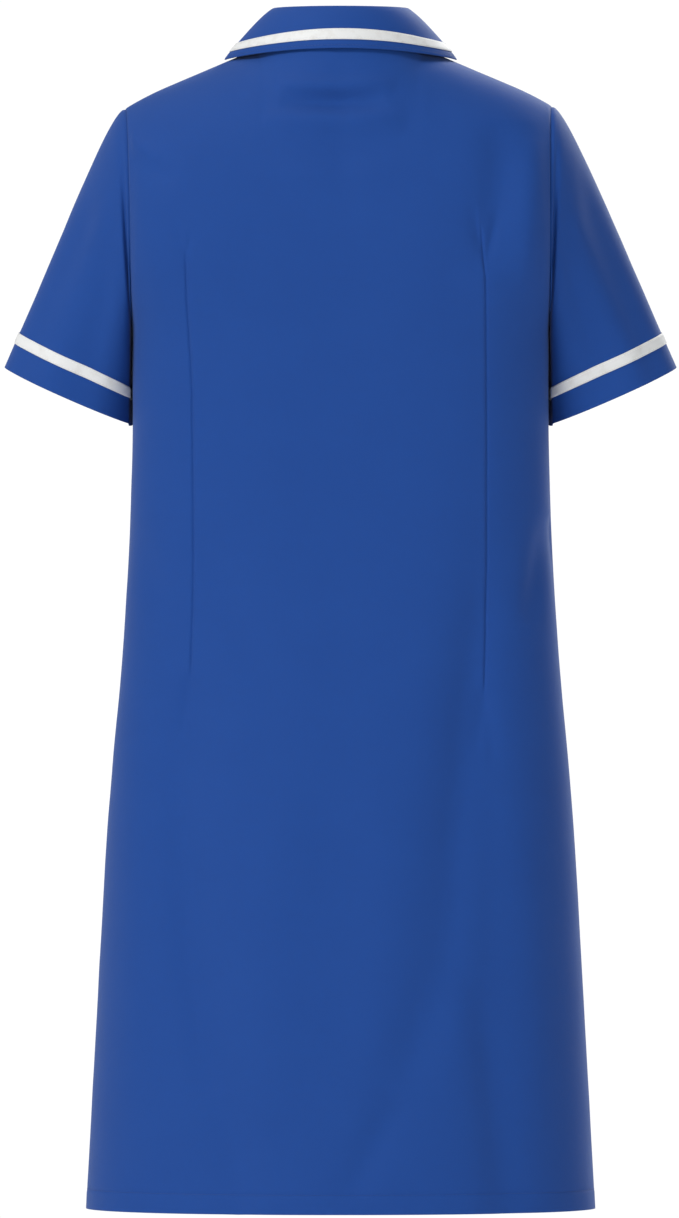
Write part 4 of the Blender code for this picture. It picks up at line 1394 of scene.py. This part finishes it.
class DRESS_OT_collar(bpy.types.Operator):
    """Make the collar's stand and the fall turned down over it."""

    bl_idname = "dress.collar"
    bl_label = "Collar"

    def execute(self, context):
        sizes = context.scene.dress_sizes
        cloth = cloth_of(context)
        fall, stand = collar_grid(sizes), stand_grid()
        piece = shell("collar_fall_cloth", fall, sizes.cloth, cloth)
        declare_cloth(piece, "collar_fall", fall)
        piece = shell("collar_stand_cloth", stand, sizes.cloth, cloth)
        declare_cloth(piece, "collar_stand", stand)
        return {"FINISHED"}


class DRESS_OT_tapes(bpy.types.Operator):
    """Sew the white tapes on the collar and on both sleeves."""

    bl_idname = "dress.tapes"
    bl_label = "Tapes"

    def execute(self, context):
        sizes = context.scene.dress_sizes
        tape, lift = tape_of(context), sizes.tape + SEAM_GAP
        rows = (COLLAR_TRIM_FIRST, COLLAR_TRIM_FIRST + len(COLLAR_TRIM_STEPS))
        outer = tape_grid(collar_grid(sizes), rows, lift, False, 1.0)
        piece = shell("collar_tape", outer, 0.5 * sizes.tape, tape)
        declare_cloth(piece, "collar_trim", outer)
        rows = (TRIM_FIRST, TRIM_FIRST + len(TRIM_STEPS))
        for side in (LEFT, RIGHT):
            outer = tape_grid(sleeve_grid(side, sizes), rows, lift, True, side)
            name = SIDE_NAMES[side]
            piece = shell("sleeve_tape_" + name, outer, 0.5 * sizes.tape, tape, True, side)
            declare_cloth(piece, "sleeve_trim_" + name, outer, closed=True)
        return {"FINISHED"}


class DRESS_OT_buttons(bpy.types.Operator):
    """Sew the buttons down the front, each with thread through its holes."""

    bl_idname = "dress.buttons"
    bl_label = "Buttons"

    def execute(self, context):
        sizes, colours = context.scene.dress_sizes, context.scene.dress_colours
        finish = material_of("white_button", lambda: button_material(colours))
        thread = material_of("white_thread", lambda: thread_material("white_thread", colours.white_thread))
        seats = button_seats()
        for index, (seat, normal, radius) in enumerate(seats):
            mesh = button_mesh("button_%d_shell" % (index + 1), radius, sizes.button_holes)
            turn = Vector((0.0, 0.0, 1.0)).rotation_difference(Vector(normal)).to_matrix().to_4x4()
            mesh.transform(Matrix.Translation(Vector(seat + normal * 0.0007)) @ turn)
            mesh.materials.clear()
            piece = link(mesh.name, mesh, finish)
            mesh.set_sharp_from_angle(angle=math.radians(40.0))
            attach(piece, BODY)
            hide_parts("button_%d" % (index + 1))
        lines = []
        for seat, normal, _ in seats:
            across = unit(np.cross(np.array([0.0, 0.0, 1.0]), normal))
            up = np.cross(normal, across)
            reach = HOLE_RING * math.sqrt(0.5)
            top = seat + normal * (THREAD_SEAT + THREAD_RISE)
            for shift in (-1.0, 1.0):
                for beside in (-THREAD_BESIDE, THREAD_BESIDE):
                    middle = top + up * (shift * reach + beside)
                    lines.append(np.array([
                        middle - across * reach - normal * THREAD_DIP,
                        middle - across * THREAD_FLAT,
                        middle + across * THREAD_FLAT,
                        middle + across * reach - normal * THREAD_DIP,
                    ]))
        make_stitches("button_threads", lines, sizes, thread, pitch=0.0006)
        return {"FINISHED"}


class DRESS_OT_stitching(bpy.types.Operator):
    """Sew the hems, tapes, collar edge, placket and buttonholes."""

    bl_idname = "dress.stitching"
    bl_label = "Stitching"

    def execute(self, context):
        sizes, colours = context.scene.dress_sizes, context.scene.dress_colours
        blue = material_of("blue_thread", lambda: thread_material("blue_thread", colours.blue_thread))
        white = material_of("white_thread", lambda: thread_material("white_thread", colours.white_thread))
        lift = 0.25 * sizes.thread
        back = lifted(back_grid(sizes), False, -BACK, lift)
        left = lifted(front_grid(LEFT, sizes), False, -FRONT, lift)
        right = lifted(front_grid(RIGHT, sizes), False, -FRONT, lift)
        collar = collar_grid(sizes)
        fall = lifted(collar, False, 1.0, lift)
        under_collar = right.shape[0] - 22
        lines = [back[HEM_ROW], left[HEM_ROW], right[HEM_ROW], fall[TOPSTITCH_ROW],
                 right[:under_collar, 2]]
        make_stitches("blue_stitches", lines, sizes, blue)

        tape_lift = sizes.tape + SEAM_GAP
        rows = (COLLAR_TRIM_FIRST, COLLAR_TRIM_FIRST + len(COLLAR_TRIM_STEPS))
        band = lifted(tape_grid(collar, rows, tape_lift, False, 1.0), False, 1.0, lift)
        lines = [band[2], band[-3]]
        rows = (TRIM_FIRST, TRIM_FIRST + len(TRIM_STEPS))
        for side in (LEFT, RIGHT):
            band = tape_grid(sleeve_grid(side, sizes), rows, tape_lift, True, side)
            band = lifted(band, True, side, lift)
            lines += [closed_line(band[2]), closed_line(band[-3])]
        make_stitches("white_stitches", lines, sizes, white)

        lines = []
        for seat, normal, radius in button_seats():
            across = unit(np.cross(normal, np.array([0.0, 0.0, 1.0])))
            across = across if across[0] > 0.0 else -across
            up = unit(np.cross(across, normal))
            up = up if up[2] > 0.0 else -up
            base = seat + normal * HOLE_LIFT
            for rise in (-HOLE_HALF, HOLE_HALF):
                lines.append(np.array([base - across * HOLE_START + up * rise,
                                       base + across * (radius + HOLE_END) + up * rise]))
            for end in (-HOLE_START, radius + HOLE_END):
                bar = base + across * end
                lines.append(np.array([bar - up * BAR_HALF, bar + up * BAR_HALF]))
        make_stitches("buttonhole_threads", lines, sizes, blue, pitch=0.0007)
        return {"FINISHED"}


class DRESS_OT_stage(bpy.types.Operator):
    """Set a plain pale floor, soft lamps and the camera."""

    bl_idname = "dress.stage"
    bl_label = "Stage"

    def lamp(self, context, name, place, aim, size, power, tint):
        """A soft square lamp that shines from a place to an aim."""
        light = bpy.data.lights.new(name, "AREA")
        light.shape, light.size, light.energy, light.color = "SQUARE", size, power, tint
        item = bpy.data.objects.new(name, light)
        item.location = place
        item.rotation_euler = (Vector(aim) - Vector(place)).to_track_quat("-Z", "Y").to_euler()
        context.scene.collection.objects.link(item)
        return item

    def sky(self, stage):
        """Even light from all round, brightest near the level of the dress."""
        world = bpy.data.worlds.new("studio_light")
        world.use_nodes = True
        nodes, links = world.node_tree.nodes, world.node_tree.links
        place = nodes.new("ShaderNodeTexCoord")
        parts = nodes.new("ShaderNodeSeparateXYZ")
        height = nodes.new("ShaderNodeMath")
        height.operation = "ABSOLUTE"
        band = nodes.new("ShaderNodeMapRange")
        band.interpolation_type = "SMOOTHSTEP"
        for socket, value in (("From Min", 0.10), ("From Max", 0.34),
                              ("To Min", 1.03), ("To Max", stage.sky)):
            band.inputs[socket].default_value = value
        links.new(place.outputs["Generated"], parts.inputs["Vector"])
        links.new(parts.outputs["Z"], height.inputs[0])
        links.new(height.outputs[0], band.inputs["Value"])
        links.new(band.outputs["Result"], nodes["Background"].inputs["Strength"])
        nodes["Background"].inputs["Color"].default_value = (1.0, 1.0, 1.0, 1.0)
        return world

    def execute(self, context):
        stage = context.scene.dress_stage
        bpy.ops.mesh.primitive_circle_add(vertices=96, radius=6.2, fill_type="NGON",
                                          location=(0.0, 0.0, stage.floor))
        floor = context.object
        floor.name = "pale_floor"
        nodes = Nodes("pale_floor")
        nodes.shader.inputs["Base Color"].default_value = (0.90, 0.90, 0.90, 1.0)
        nodes.shader.inputs["Roughness"].default_value = 0.9
        nodes.shader.inputs["Specular IOR Level"].default_value = 0.1
        floor.data.materials.append(nodes.material)

        middle = (0.0, 0.0, -0.45)
        lamps = [
            self.lamp(context, "key_lamp", (-6.4, -6.8, 8.6), middle, 4.6, stage.key, (1.0, 0.99, 0.97)),
            self.lamp(context, "top_lamp", (-0.4, 0.6, 2.6), middle, 2.2, stage.top, (1.0, 1.0, 1.0)),
            self.lamp(context, "front_lamp", (3.2, 6.2, 3.4), middle, 3.2, stage.front, (1.0, 1.0, 1.0)),
            self.lamp(context, "low_lamp", (-1.2, -2.2, -1.25), (0.0, 0.0, -1.1), 1.4, stage.low,
                      (1.0, 1.0, 1.0)),
            self.lamp(context, "fill_lamp", (3.4, -3.6, 0.2), middle, 3.0, stage.fill, (0.96, 0.98, 1.0)),
        ]

        context.scene.world = self.sky(stage)
        context.scene.view_settings.view_transform = "Standard"

        lens = bpy.data.cameras.new("camera")
        lens.sensor_fit = "AUTO"
        lens.lens = lens.sensor_width * stage.distance / stage.view
        camera = bpy.data.objects.new("camera", lens)
        camera.location = (-0.001, -stage.distance, stage.eye)
        camera.rotation_euler = (math.pi / 2.0, 0.0, 0.0)
        context.scene.collection.objects.link(camera)
        context.scene.camera = camera
        return {"FINISHED"}


class DRESS_PT_panel(bpy.types.Panel):
    """Sizes, colours and steps of the dress, in the 3D view's sidebar."""

    bl_idname = "DRESS_PT_panel"
    bl_label = "Nurse uniform dress"
    bl_space_type = "VIEW_3D"
    bl_region_type = "UI"
    bl_category = "Dress"

    def draw(self, context):
        scene = context.scene
        for settings in (scene.dress_sizes, scene.dress_colours, scene.dress_stage):
            box = self.layout.box()
            for name in settings.bl_rna.properties.keys():
                if name not in ("rna_type", "name"):
                    box.prop(settings, name)
        for step in STEPS:
            self.layout.operator("dress." + step)


STEPS = ("back", "fronts", "sleeves", "collar", "tapes", "buttons", "stitching", "stage")
CLASSES = (
    DressSizes, DressColours, StageSettings,
    DRESS_OT_back, DRESS_OT_fronts, DRESS_OT_sleeves, DRESS_OT_collar, DRESS_OT_tapes,
    DRESS_OT_buttons, DRESS_OT_stitching, DRESS_OT_stage, DRESS_PT_panel,
)


def register():
    """Register the classes and attach the settings to the scene."""
    for item in CLASSES:
        bpy.utils.register_class(item)
    bpy.types.Scene.dress_sizes = PointerProperty(type=DressSizes)
    bpy.types.Scene.dress_colours = PointerProperty(type=DressColours)
    bpy.types.Scene.dress_stage = PointerProperty(type=StageSettings)


def unregister():
    """Remove the settings and the classes."""
    for name in ("dress_sizes", "dress_colours", "dress_stage"):
        delattr(bpy.types.Scene, name)
    for item in reversed(CLASSES):
        bpy.utils.unregister_class(item)


def main():
    """Run every step in order."""
    register()
    for step in STEPS:
        if getattr(bpy.ops.dress, step)() != {"FINISHED"}:
            raise RuntimeError("the step %s did not finish" % step)


if __name__ == "__main__":
    main()
